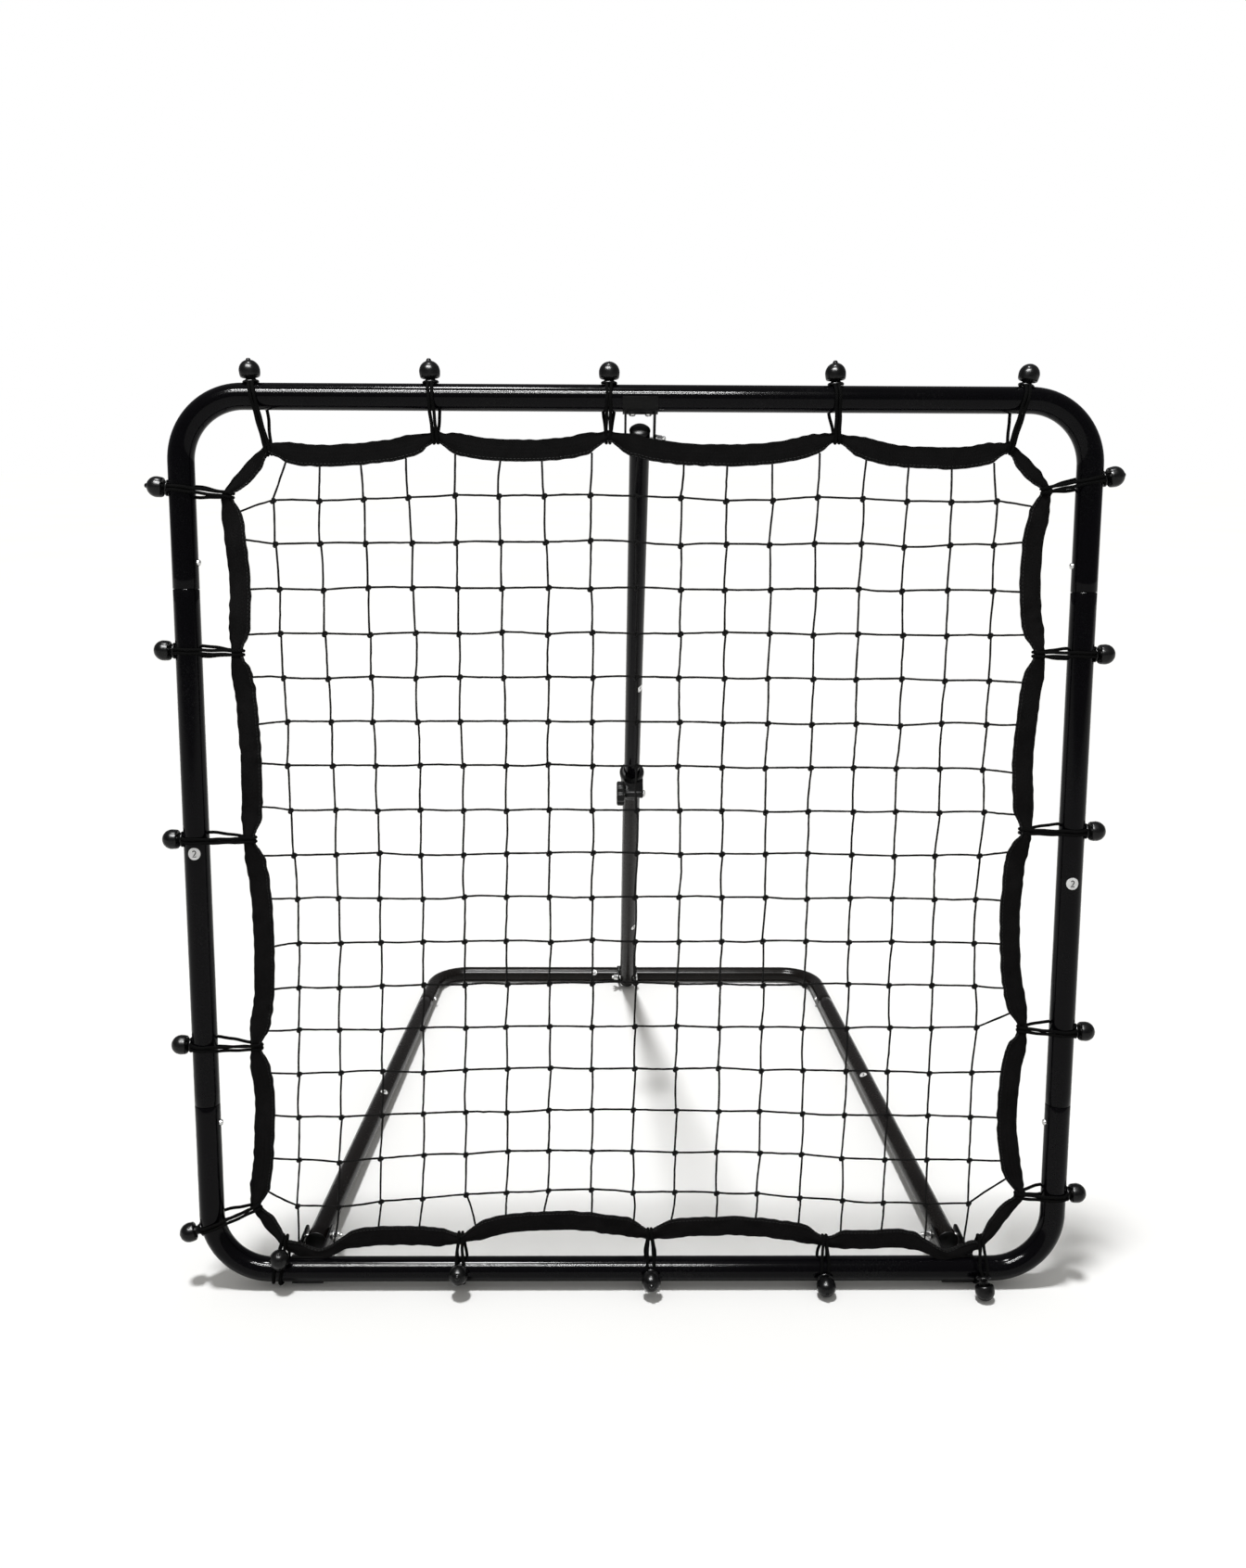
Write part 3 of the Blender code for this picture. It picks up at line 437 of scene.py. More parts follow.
def piece(name, shape, materials, body, nodes, place, sharp=38, holes=None, joined=None):
    """Makes the object, joins and cuts it, puts it on the body that it rides on and hides the CAD nodes that it
    stands for.
    """
    obj = solid(name, shape, place)
    if joined:
        addition = solid(name + "_joined", joined[0], place)
        boolean(addition, solid(name + "_bore", joined[1], place), "DIFFERENCE")
        boolean(obj, addition, "UNION")
    if holes:
        boolean(obj, solid(name + "_holes", holes, place), "DIFFERENCE")
    for material in materials:
        obj.data.materials.append(material)
    obj.data.shade_smooth()
    obj.data.set_sharp_from_angle(angle=math.radians(sharp))
    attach(obj, body)
    if nodes:
        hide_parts(*nodes)


# ---------------------------------------------------------------- materials


class Look:
    """A Principled material with a short way to add and join its nodes."""

    def __init__(self, name, color, roughness, metallic=0.0, ior=1.2):
        self.material = bpy.data.materials.new(name)
        self.material.use_nodes = True
        self.tree = self.material.node_tree
        self.shader = self.tree.nodes["Principled BSDF"]
        self.shader.inputs["Base Color"].default_value = (*color, 1.0)
        self.shader.inputs["Roughness"].default_value = roughness
        self.shader.inputs["Metallic"].default_value = metallic
        self.shader.inputs["IOR"].default_value = ior

    def feed(self, socket, value):
        if isinstance(value, bpy.types.NodeSocket):
            self.tree.links.new(value, socket)
        else:
            socket.default_value = value

    def node(self, kind, **inputs):
        made = self.tree.nodes.new("ShaderNode" + kind)
        for key, value in inputs.items():
            self.feed(made.inputs[key], value)
        return made

    def strand(self):
        """(around or across, along) in metres."""
        mapped = self.node("UVMap")
        mapped.uv_map = "strand"
        split = self.node("SeparateXYZ", Vector=mapped.outputs["UV"])
        return split.outputs["X"], split.outputs["Y"]

    def noise(self, scale, detail, roughness):
        place = self.node("TexCoord").outputs["Object"]
        made = self.node("TexNoise", Vector=place, Scale=scale, Detail=detail, Roughness=roughness)
        return made.outputs[0]

    def math(self, operation, first, second=0.0):
        made = self.node("Math")
        made.operation = operation
        for socket, value in zip(made.inputs, (first, second)):
            self.feed(socket, value)
        return made.outputs[0]

    def remap(self, value, low, high, to_low, to_high):
        made = self.node("MapRange", Value=value)
        for key, number in (("From Min", low), ("From Max", high), ("To Min", to_low), ("To Max", to_high)):
            made.inputs[key].default_value = number
        return made.outputs["Result"]

    def mix(self, factor, first, second):
        made = self.node("Mix")
        made.data_type = "RGBA"
        self.feed(made.inputs["Factor"], factor)
        for key, color in (("A", first), ("B", second)):
            socket = next(s for s in made.inputs if s.name == key and s.type == "RGBA")
            socket.default_value = (*color, 1.0)
        return next(s for s in made.outputs if s.type == "RGBA")

    def base(self, socket):
        self.tree.links.new(socket, self.shader.inputs["Base Color"])

    def rough(self, socket):
        self.tree.links.new(socket, self.shader.inputs["Roughness"])

    def bump(self, height, distance, onto=None):
        made = self.node("Bump", Strength=1.0, Distance=distance, Height=height)
        if onto is not None:
            self.tree.links.new(onto, made.inputs["Normal"])
        self.tree.links.new(made.outputs["Normal"], self.shader.inputs["Normal"])
        return made.outputs["Normal"]


def painted_steel(name, color, dust, roughness, ior, peel, scuffs):
    """Powder coat: a faint orange peel, patchy gloss, a little dust and fine scuffs."""
    look = Look(name, color, roughness, ior=ior)
    patches = look.noise(9.0, 4.0, 0.6)
    specks = look.noise(420.0, 2.0, 0.5)
    patchy = look.remap(patches, 0.45, 0.75, 0.0, 0.5)
    dusty = look.math("MULTIPLY", patchy, look.remap(specks, 0.5, 0.75, 0.0, 1.0))
    look.base(look.mix(dusty, color, dust))
    scratch = look.remap(look.noise(150.0, 5.0, 0.7), 0.55, 0.62, 0.0, scuffs)
    look.rough(look.math("ADD", look.remap(patches, 0.3, 0.7, roughness * 0.85, roughness * 1.25), scratch))
    coarse = look.bump(look.noise(260.0, 2.0, 0.5), peel)
    look.bump(look.noise(1400.0, 1.0, 0.5), peel * 0.25, onto=coarse)
    return look.material


def zinc_plate():
    look = Look("zinc", (0.62, 0.62, 0.60), 0.28, metallic=1.0)
    clouds = look.noise(240.0, 4.0, 0.6)
    look.base(look.mix(look.remap(clouds, 0.35, 0.7, 0.0, 1.0), (0.70, 0.70, 0.69), (0.44, 0.44, 0.43)))
    look.rough(look.remap(look.noise(700.0, 4.0, 0.7), 0.3, 0.7, 0.18, 0.42))
    look.bump(look.noise(1800.0, 3.0, 0.6), 0.00004)
    return look.material


def moulded_plastic(name, color, roughness, grain):
    look = Look(name, color, roughness, ior=1.28)
    wear = look.noise(60.0, 4.0, 0.6)
    look.base(look.mix(look.remap(wear, 0.4, 0.75, 0.0, 1.0), color, tuple(part * 1.9 + 0.004 for part in color)))
    look.rough(look.remap(wear, 0.3, 0.7, roughness * 0.9, roughness * 1.2))
    look.bump(look.noise(1500.0, 3.0, 0.6), grain)
    return look.material


def woven_webbing():
    """Plain weave from crossed ridges, with slow changes of shade."""
    look = Look("webbing", (0.003, 0.003, 0.003), 0.85, ior=1.1)
    across, along = look.strand()
    warp = look.math("SINE", look.math("MULTIPLY", across, 2 * math.pi / 0.0011))
    weft = look.math("SINE", look.math("MULTIPLY", along, 2 * math.pi / 0.0014))
    weave = look.math("MULTIPLY", warp, weft)
    shade = look.noise(45.0, 4.0, 0.6)
    # Colour: painted shade, darker in the hollows of the weave and lighter on its crossings, plus slow random changes
    # of tone
    weave_shade_and_tone = look.math("ADD", look.remap(weave, -1.0, 1.0, 0.0, 0.5), look.remap(shade, 0.3, 0.7, 0.0, 0.5))
    look.base(look.mix(weave_shade_and_tone, (0.0016, 0.0015, 0.0016), (0.0058, 0.0053, 0.0055)))
    look.shader.inputs["Sheen Weight"].default_value = 0.02
    look.shader.inputs["Sheen Roughness"].default_value = 0.5
    creases = look.bump(look.noise(90.0, 4.0, 0.6), 0.0006)
    look.bump(weave, 0.00016, onto=creases)
    return look.material


def twisted_twine():
    """Three-ply twist: diagonal grooves that run round each strand."""
    look = Look("net_twine", (0.006, 0.006, 0.006), 0.75, ior=1.15)
    around, along = look.strand()
    turns = look.math("ADD", look.math("MULTIPLY", around, 3 / 0.0069), look.math("MULTIPLY", along, 1 / 0.0016))
    ply = look.math("SINE", look.math("MULTIPLY", turns, 2 * math.pi))
    lint = look.noise(900.0, 3.0, 0.6)
    # Colour: painted shade, darker in the grooves between the plies and lighter on their ridges, plus lighter specks
    # of lint
    tone = look.math("ADD", look.remap(ply, -1.0, 1.0, 0.0, 0.6), look.remap(lint, 0.4, 0.7, 0.0, 0.4))
    look.base(look.mix(tone, (0.0025, 0.0025, 0.0025), (0.013, 0.0125, 0.012)))
    look.bump(ply, 0.00035)
    return look.material


def braided_elastic():
    """A braided sleeve: two sets of diagonal ribs that cross."""
    look = Look("elastic", (0.004, 0.004, 0.004), 0.8, ior=1.08)
    around, along = look.strand()
    right = look.math("ADD", look.math("MULTIPLY", around, 6 / 0.0113), look.math("MULTIPLY", along, 1 / 0.0030))
    left = look.math("SUBTRACT", look.math("MULTIPLY", around, 6 / 0.0113), look.math("MULTIPLY", along, 1 / 0.0030))
    ribs = look.math(
        "MAXIMUM",
        look.math("SINE", look.math("MULTIPLY", right, 2 * math.pi)),
        look.math("SINE", look.math("MULTIPLY", left, 2 * math.pi)),
    )
    # Colour: painted shade, darker between the ribs of the braid and lighter on them
    look.base(look.mix(look.remap(ribs, -0.5, 1.0, 0.0, 1.0), (0.0008, 0.0008, 0.0008), (0.005, 0.005, 0.005)))
    look.bump(ribs, 0.00022)
    return look.material


def printed_label(name, color, roughness):
    look = Look(name, color, roughness, ior=1.4)
    smudge = look.noise(350.0, 3.0, 0.6)
    look.base(look.mix(look.remap(smudge, 0.4, 0.75, 0.0, 0.6), color, tuple(part * 0.78 for part in color)))
    look.bump(smudge, 0.00002)
    return look.material


BLACK_PAINT = painted_steel("black_paint", (0.0018, 0.0016, 0.0023), (0.02, 0.02, 0.02), 0.11, 1.18, 0.0000004, 0.0)
BASE_PAINT = painted_steel("base_paint", (0.0075, 0.0062, 0.0055), (0.05, 0.045, 0.04), 0.22, 1.22, 0.000001, 0.06)
BRACKET_PAINT = painted_steel("bracket_paint", (0.003, 0.003, 0.003), (0.03, 0.03, 0.03), 0.28, 1.2, 0.000008, 0.08)
ZINC = zinc_plate()
PLASTIC = moulded_plastic("black_plastic", (0.0025, 0.0025, 0.0025), 0.36, 0.00004)
BALL_PLASTIC = moulded_plastic("ball_plastic", (0.0015, 0.0015, 0.0016), 0.26, 0.00002)
WEBBING = woven_webbing()
THREAD = moulded_plastic("stitching", (0.006, 0.006, 0.006), 0.6, 0.00003)
TWINE = twisted_twine()
ELASTIC = braided_elastic()
LABEL = printed_label("label_white", (0.80, 0.80, 0.80), 0.35)
PRINT = printed_label("label_print", (0.02, 0.02, 0.02), 0.5)

# ---------------------------------------------------------------- tubes


def hollow_tube(path, radius):
    """An open tube along a path, with a bore and softened rims."""
    path = [Vector(point) for point in path]
    outer, run = sweep_rings(*soft_rims(path, radius, 0.0006), TUBE_SIDES)
    inner, _ = sweep_rings(path, radius - TUBE_WALL, TUBE_SIDES)
    along = np.concatenate([run, run[-1] + TUBE_WALL + np.linspace(0.0, run[-1], len(inner))])
    girth = 2 * math.pi * radius
    return grid_part(np.concatenate([outer, inner[::-1]]), closed=True, girth=girth, along=along)


def bar(radius, start, end, sides=24):
    """A plain round cutter between two points."""
    return sweep([start, end], radius, sides)


def snap_hole(matrix, tube_radius):
    """Cutter for a snap button's hole; the button points along the matrix's Z."""
    low = matrix @ Vector((0.0, 0.0, tube_radius - 0.004))
    high = matrix @ Vector((0.0, 0.0, tube_radius + 0.002))
    return bar(BUTTON + GAP, low, high)


def frame_button_places():
    """Snap button name, place in the net frame, and the tubes that it locks."""
    made = []
    for side, word in ((-1, "left"), (1, "right")):
        for level, height in (("upper", UPPER_SEAM + 0.028), ("lower", LOWER_SEAM - 0.022)):
            matrix = shift(side * HALF_WIDTH, 0.0, height) @ turn(-side * 90, "Y")
            made.append(("frame_snap_button_" + level + "_" + word, matrix, level))
    return made


def frame_tubes():
    buttons = frame_button_places()
    for name, seam, level in (("top", UPPER_SEAM, FRAME_HEIGHT), ("bottom", LOWER_SEAM, 0.0)):
        corners = [
            (-HALF_WIDTH, 0.0, seam),
            (-HALF_WIDTH, 0.0, level),
            (HALF_WIDTH, 0.0, level),
            (HALF_WIDTH, 0.0, seam),
        ]
        rail = Shape().add(hollow_tube(rounded_path(corners, FRAME_BEND), FRAME_TUBE))
        holes = Shape()
        for _, matrix, where in buttons:
            if where == {"top": "upper", "bottom": "lower"}[name]:
                holes.add(snap_hole(matrix, FRAME_TUBE))
        node = "frame_" + name + "_rail"
        piece(node + "_tube", rail, [BLACK_PAINT], "frame", [node], NET_FRAME, holes=holes)
    slim = FRAME_TUBE - TUBE_WALL - GAP
    for side, word in ((-1, "left"), (1, "right")):
        x = side * HALF_WIDTH
        run = UPPER_SEAM - LOWER_SEAM - 2 * GAP
        main = [(x, 0.0, LOWER_SEAM + GAP + run * step / TUBE_STEPS) for step in range(TUBE_STEPS + 1)]
        tube = Shape().add(softened_tube(main, FRAME_TUBE))
        for low, high in ((LOWER_SEAM - SWAGE, LOWER_SEAM + SLIP), (UPPER_SEAM - SLIP, UPPER_SEAM + SWAGE)):
            tube.add(softened_tube([(x, 0.0, low), (x, 0.0, (low + high) / 2), (x, 0.0, high)], slim))
        node = "frame_side_tube_" + word
        piece(node + "_swaged", tube, [BLACK_PAINT], "frame", [node], NET_FRAME)


def base_corner_points():
    toward = Vector((HINGE_X - BASE_REAR_X, -BASE_SPAN, 0.0)).normalized()
    corner = Vector((BASE_REAR_X, BASE_SPAN, 0.0))
    return corner, corner + toward * BASE_SEAM


def arm_frame(side):
    """Arm's own frame in the base: origin on the hinge bolt, +Z along the arm to the rear."""
    return shift(side * HINGE_X, 0.0, 0.0) @ Matrix.Rotation(side * ARM_SPLAY, 4, "Z") @ turn(-90, "X")


def base_button_frame(side):
    _, seam = base_corner_points()
    length = (seam - Vector((HINGE_X, 0.0, 0.0))).length
    return arm_frame(side) @ shift(0.0, 0.0, length + 0.020) @ turn(-side * 90, "Y")


def base_tubes():
    corner, seam = base_corner_points()
    mirror = Vector((-1.0, 1.0, 1.0))
    path = rounded_path([seam * mirror, corner * mirror, corner, seam], BASE_BEND)
    rail = Shape().add(hollow_tube(path, BASE_TUBE))
    holes = Shape()
    for side in (-1, 1):
        holes.add(snap_hole(base_button_frame(side), BASE_TUBE))
    piece("base_rear_rail_tube", rail, [BASE_PAINT], "base", ["base_rear_rail"], BASE, holes=holes)
    length = (seam - Vector((HINGE_X, 0.0, 0.0))).length
    slim = BASE_TUBE - TUBE_WALL - GAP
    for side, word in ((-1, "left"), (1, "right")):
        run = length - GAP + ARM_NOSE
        main = [(0.0, 0.0, -ARM_NOSE + run * step / TUBE_STEPS) for step in range(TUBE_STEPS + 1)]
        arm = Shape().add(softened_tube(main, BASE_TUBE))
        arm.add(softened_tube([(0.0, 0.0, z) for z in (length - SLIP, length, length + SWAGE)], slim))
        holes = Shape().add(bar(BOLT + GAP, (-HOLE_REACH, 0.0, 0.0), (HOLE_REACH, 0.0, 0.0)))
        node = "base_arm_" + word
        place = BASE @ arm_frame(side)
        piece(node + "_tube", arm, [BASE_PAINT], "base", [node], place, holes=holes)
        cap = Shape().add(end_cap(BASE_TUBE, 0.0022), turn(180, "X") @ shift(0.0, 0.0, ARM_NOSE))
        cap_node = "base_arm_end_cap_" + word
        piece(cap_node + "_plug", cap, [PLASTIC], "base", [cap_node], place)


def end_cap(tube_radius, crown, stem=0.006):
    """A plastic plug pressed in a tube's end at z = 0, with a low dome and a small rim."""
    rim = tube_radius + 0.0004
    profile = [(0.0, GAP + crown)] + dome(rim * 0.93, GAP + 0.0006, crown - 0.0006, 8, last=80)
    profile += [(rim - 0.0003, GAP + 0.0009), (rim, GAP + 0.0006), (rim, GAP)]
    bore = tube_radius - TUBE_WALL - GAP
    profile += [(bore, GAP), (bore, -stem), (0.0, -stem)]
    return lathe(profile, 48)


def leg_path(low, high):
    """Evenly spaced points up the leg."""
    count = 36
    low, high = Vector((0.0, 0.0, low)), Vector((0.0, 0.0, high))
    return [low.lerp(high, step / count) for step in range(count + 1)]


def leg_tubes():
    upper = Shape().add(hollow_tube(leg_path(-LEG_MOUTH - LEG_OVERLAP, LEG_NOSE), LEG_UPPER_TUBE))
    holes = Shape().add(bar(BOLT + GAP, (-HOLE_REACH, 0.0, 0.0), (HOLE_REACH, 0.0, 0.0)))
    nodes = ["leg_upper_tube"]
    piece("leg_upper_tube_steel", upper, [BLACK_PAINT], "leg_upper", nodes, LEG, holes=holes)
    cap = Shape().add(end_cap(LEG_UPPER_TUBE, 0.0050), shift(0.0, 0.0, LEG_NOSE))
    piece("leg_top_cap_plug", cap, [PLASTIC], "leg_upper", ["leg_top_cap"], LEG)
    foot = -LEG_LENGTH - LEG_TAIL
    lower = Shape().add(hollow_tube(leg_path(foot, -LEG_MOUTH), LEG_LOWER_TUBE))
    slot_ends = (-LEG_LENGTH - 0.0023, -LEG_LENGTH + 0.0023)
    outline = hull([point for z in slot_ends for point in arc((0.0, z), 0.0063, 0, 360, 24)])
    slot = Shape().add(prism(outline, -HOLE_REACH, HOLE_REACH))
    nodes = ["leg_lower_tube"]
    piece("leg_lower_tube_steel", lower, [BASE_PAINT], "leg_lower", nodes, LEG, holes=slot)
    cap = Shape().add(end_cap(LEG_LOWER_TUBE, 0.0030, 0.0032), shift(0.0, 0.0, foot) @ turn(180, "X"))
    piece("leg_bottom_cap_plug", cap, [PLASTIC], "leg_lower", ["leg_bottom_cap"], LEG)


# ---------------------------------------------------------------- fasteners


def thread(radius, low, high):
    """A screw thread along Z, run out to a plain core at both ends."""
    pitch, depth, sides = 0.0008, 0.00035, 32
    count = max(8, round((high - low) / pitch * 6))
    heights = np.linspace(low, high, count + 1)
    angles = 2 * math.pi * np.arange(sides) / sides
    phase = 2 * math.pi * heights[:, None] / pitch - angles[None]
    fade = np.clip(np.minimum(heights - low, high - heights) / pitch, 0.0, 1.0)[:, None]
    radii = radius - depth * (0.5 + 0.5 * np.cos(phase)) * fade - 0.0004 * (1 - fade)
    rings = np.stack([radii * np.cos(angles), radii * np.sin(angles), np.repeat(heights[:, None], sides, 1)], axis=2)
    return grid_part(rings)


def bolt_part(shape, matrix, ear_gap):
    """Dome-headed bolt: head at +Z of the clevis, thread through the wing nut at -Z."""
    grip = ear_gap / 2 + PLATE
    tip = grip + NUT_HEIGHT + 0.004
    seat = grip + GAP
    head = [(0.0, seat + 0.0034)] + dome(HEAD_RADIUS, seat + 0.0006, 0.0028, 8)
    head += [(HEAD_RADIUS, seat + 0.0003), (0.0067, seat), (BOLT, seat), (BOLT, -grip + 0.001), (0.0, -grip + 0.001)]
    shape.add(lathe(head, 40), matrix)
    shape.add(thread(BOLT, -tip, -grip + 0.0015), matrix)


def wing_outline(side):
    """One wing from the hub's flank to its rounded tip, as (across, rise)."""
    wing = [(0.0020, 0.0012), (0.0052, 0.0013), (0.0085, 0.0030), (0.0118, 0.0058)]
    wing += arc((0.0114, 0.0090), 0.0024, -55, 150, 12)
    wing += [(0.0068, 0.0086), (0.0048, 0.0070), (0.0036, 0.0068), (0.0020, 0.0066)]
    return [(side * across, rise) for across, rise in wing]


def wing_nut_part(shape, matrix):
    """Pressed wing nut standing on z = 0, with its wings spread along Y."""
    bore = BOLT + GAP
    hub = [(bore, 0.0), (0.0054, 0.0), (0.0057, 0.0004), (0.0057, 0.0014), (0.0053, 0.0019), (0.0047, 0.0066)]
    hub += [(0.0043, 0.0073), (0.0039, NUT_HEIGHT), (bore, NUT_HEIGHT)]
    shape.add(lathe(hub, 36, closed=True), matrix)
    for side in (-1, 1):
        wing = Shape().add(prism(wing_outline(side), -0.0011, 0.0011, 0.0006))
        points = np.concatenate(wing.points)
        hug = np.hypot(points[:, 0], points[:, 1]) < bore
        points[hug, 1] = side * bore
        shape.add((points, wing.faces, wing.uvs), matrix)


def pan_screw_part():
    """A pan head on z = 0 and a short shank."""
    radius = 0.0036
    profile = [(0.0, 0.0021)] + dome(radius, GAP, 0.0019, 6, power=0.8)
    profile += [(radius - 0.0003, GAP - 0.0001), (0.0016, GAP), (0.0016, -0.0070), (0.0, -0.0070)]
    return lathe(profile, 32)


def recess_part():
    """Cutter for a cross recess: two tapered blades."""
    shape = Shape()
    for spin in (0, 90):
        blade = [(-0.0017, 0.0030), (-0.0007, 0.0006), (0.0007, 0.0006), (0.0017, 0.0030)]
        shape.add(prism(blade, -0.0003, 0.0003, 0.00005), turn(spin, "Z"))
    return np.concatenate(shape.points), shape.faces, shape.uvs


def screw(name, place, matrix, body):
    head = Shape().add(pan_screw_part(), matrix)
    holes = Shape().add(recess_part(), matrix @ turn(20, "Z"))
    piece(name + "_head", head, [ZINC], body, [name], place, holes=holes)


def button(name, place, matrix, tube_radius, body):
    top = tube_radius + BUTTON_PROUD
    profile = [(0.0, top)] + dome(BUTTON, top - 0.0022, 0.0022, 8)
    seat = tube_radius - 0.0048
    flange = BUTTON + 0.0013
    profile += [(BUTTON, seat), (flange, seat), (flange, seat - 0.0012), (0.0, seat - 0.0012)]
    piece(name + "_pin", Shape().add(lathe(profile, 32), matrix), [ZINC], body, [name], place)


# ---------------------------------------------------------------- brackets


def reach_outline(rounds, inner, keep):
    """Outline in (y, z) of a bracket's sheet: out to the hull round circles, in to the rail, inside the keep box."""
    steps = 360
    edge = hull([point for (y, z, radius) in rounds for point in arc((y, z), radius, 0, 360, 96)])
    walls = []
    for (y0, z0), (y1, z1) in zip(edge, edge[1:] + edge[:1]):
        normal = np.array([z1 - z0, y0 - y1])
        size = np.hypot(*normal)
        if size > 1e-9:
            walls.append((normal / size, abs((normal / size) @ np.array([y0, z0]))))
            if (normal / size) @ np.array([y0, z0]) < 0:
                walls[-1] = (-normal / size, walls[-1][1])
    (low_y, low_z), (high_y, high_z) = keep
    for normal, reach in (((-1, 0), -low_y), ((0, -1), -low_z), ((1, 0), high_y), ((0, 1), high_z)):
        walls.append((np.array(normal, float), reach))
    angles = np.radians(np.arange(0, 360, 360 / steps))
    outward = []
    for angle in angles:
        ray = np.array([math.cos(angle), math.sin(angle)])
        outward.append(min(reach / (normal @ ray) for normal, reach in walls if normal @ ray > 1e-6))
    outward = np.array(outward)
    solid = outward > inner + 0.0003
    start = next(i for i in range(steps) if solid[i] and not solid[i - 1])
    picked = []
    index = start
    while solid[index % steps] and len(picked) < steps:
        picked.append(index % steps)
        index += 1
    outer = [(outward[i] * math.cos(angles[i]), outward[i] * math.sin(angles[i])) for i in picked]
    back = [(inner * math.cos(angles[i]), inner * math.sin(angles[i])) for i in picked[::-3]]
    return outer + back


def clevis(rail_radius, pivot, ear_gap, keep):
    """Folded sheet bracket: a saddle round the rail and two ears out to the bolt."""
    inner = rail_radius + GAP
    saddle = inner + PLATE
    outside = ear_gap / 2 + PLATE
    shape = Shape()
    wrap = reach_outline([(0.0, 0.0, saddle)], inner, keep)
    shape.add(prism(wrap, -outside - 0.002, outside + 0.002, 0.0003))
    ear = reach_outline([(0.0, 0.0, saddle - 0.0004), (*pivot, EAR)], inner, keep)
    for side in (-1, 1):
        low, high = sorted((side * ear_gap / 2, side * outside))
        shape.add(prism(ear, low, high, 0.0004))
    return shape


def bracket(names, body, place, tube, pivot, ear_gap, keep, head_side, spin):
    """A clevis with its bolt, and the wing nut, which rides on a body of its own."""
    node, bolt, nut = (names % word for word in ("bracket", "bolt", "wing_nut"))
    sheet = clevis(tube, pivot, ear_gap, keep)
    piece(node + "_sheet", sheet, [BRACKET_PAINT], body, [node], place)
    at = place @ shift(0.0, *pivot)
    matrix = turn(head_side * 90, "Y")
    shape = Shape()
    bolt_part(shape, matrix, ear_gap)
    piece(bolt + "_steel", shape, [ZINC], body, [bolt], at, sharp=30)
    shape = Shape()
    seat = -(ear_gap / 2 + PLATE) - GAP
    wing_nut_part(shape, matrix @ shift(0.0, 0.0, seat) @ turn(180, "X") @ turn(spin, "Z"))
    piece(nut + "_steel", shape, [ZINC], nut, [nut], at)


def brackets():
    for side, word in ((-1, "left"), (1, "right")):
        place = NET_FRAME @ shift(side * HINGE_X, 0.0, 0.0)
        keep = ((-0.003, -0.020), (0.10, 0.05))
        names = "base_hinge_%s_" + word
        pivot = (HINGE_BACK, HINGE_UP)
        bracket(names, "frame", place, FRAME_TUBE, pivot, HINGE_EAR_GAP, keep, side, side * 35)
        surface = FRAME_TUBE + GAP + PLATE
        tilt = 52
        lean = math.radians(tilt)
        lie = shift(0.0, surface * math.sin(lean), surface * math.cos(lean)) @ turn(-tilt, "X")
        screw(names % "screw", place, lie, "frame")
    place = NET_FRAME @ shift(LEG_X, 0.0, FRAME_HEIGHT)
    keep = ((-0.020, -0.08), (0.05, -0.0055))
    pivot = (LEG_TOP_BACK, -LEG_TOP_DOWN)
    bracket("leg_top_%s", "frame", place, FRAME_TUBE, pivot, LEG_TOP_EAR_GAP, keep, -1, 20)
    for side, word in ((-1, "left"), (1, "right")):
        lie = shift(side * 0.0085, 0.0, -FRAME_TUBE - GAP - PLATE) @ turn(180, "X")
        screw("leg_top_screw_" + word, place, lie, "frame")
    place = BASE @ shift(LEG_X, BASE_SPAN, 0.0)
    keep = ((-0.08, -0.0118), (0.003, 0.05))
    pivot = (FOOT_IN_BASE.y - BASE_SPAN, FOOT_IN_BASE.z)
    bracket("leg_foot_%s", "base", place, BASE_TUBE, pivot, LEG_FOOT_EAR_GAP, keep, 1, 20)


def buttons():
    for name, matrix, _ in frame_button_places():
        button(name, NET_FRAME, matrix, FRAME_TUBE, name)
    for side, word in ((-1, "left"), (1, "right")):
        name = "base_snap_button_" + word
        button(name, BASE, base_button_frame(side), BASE_TUBE, name)


# ---------------------------------------------------------------- leg clamp


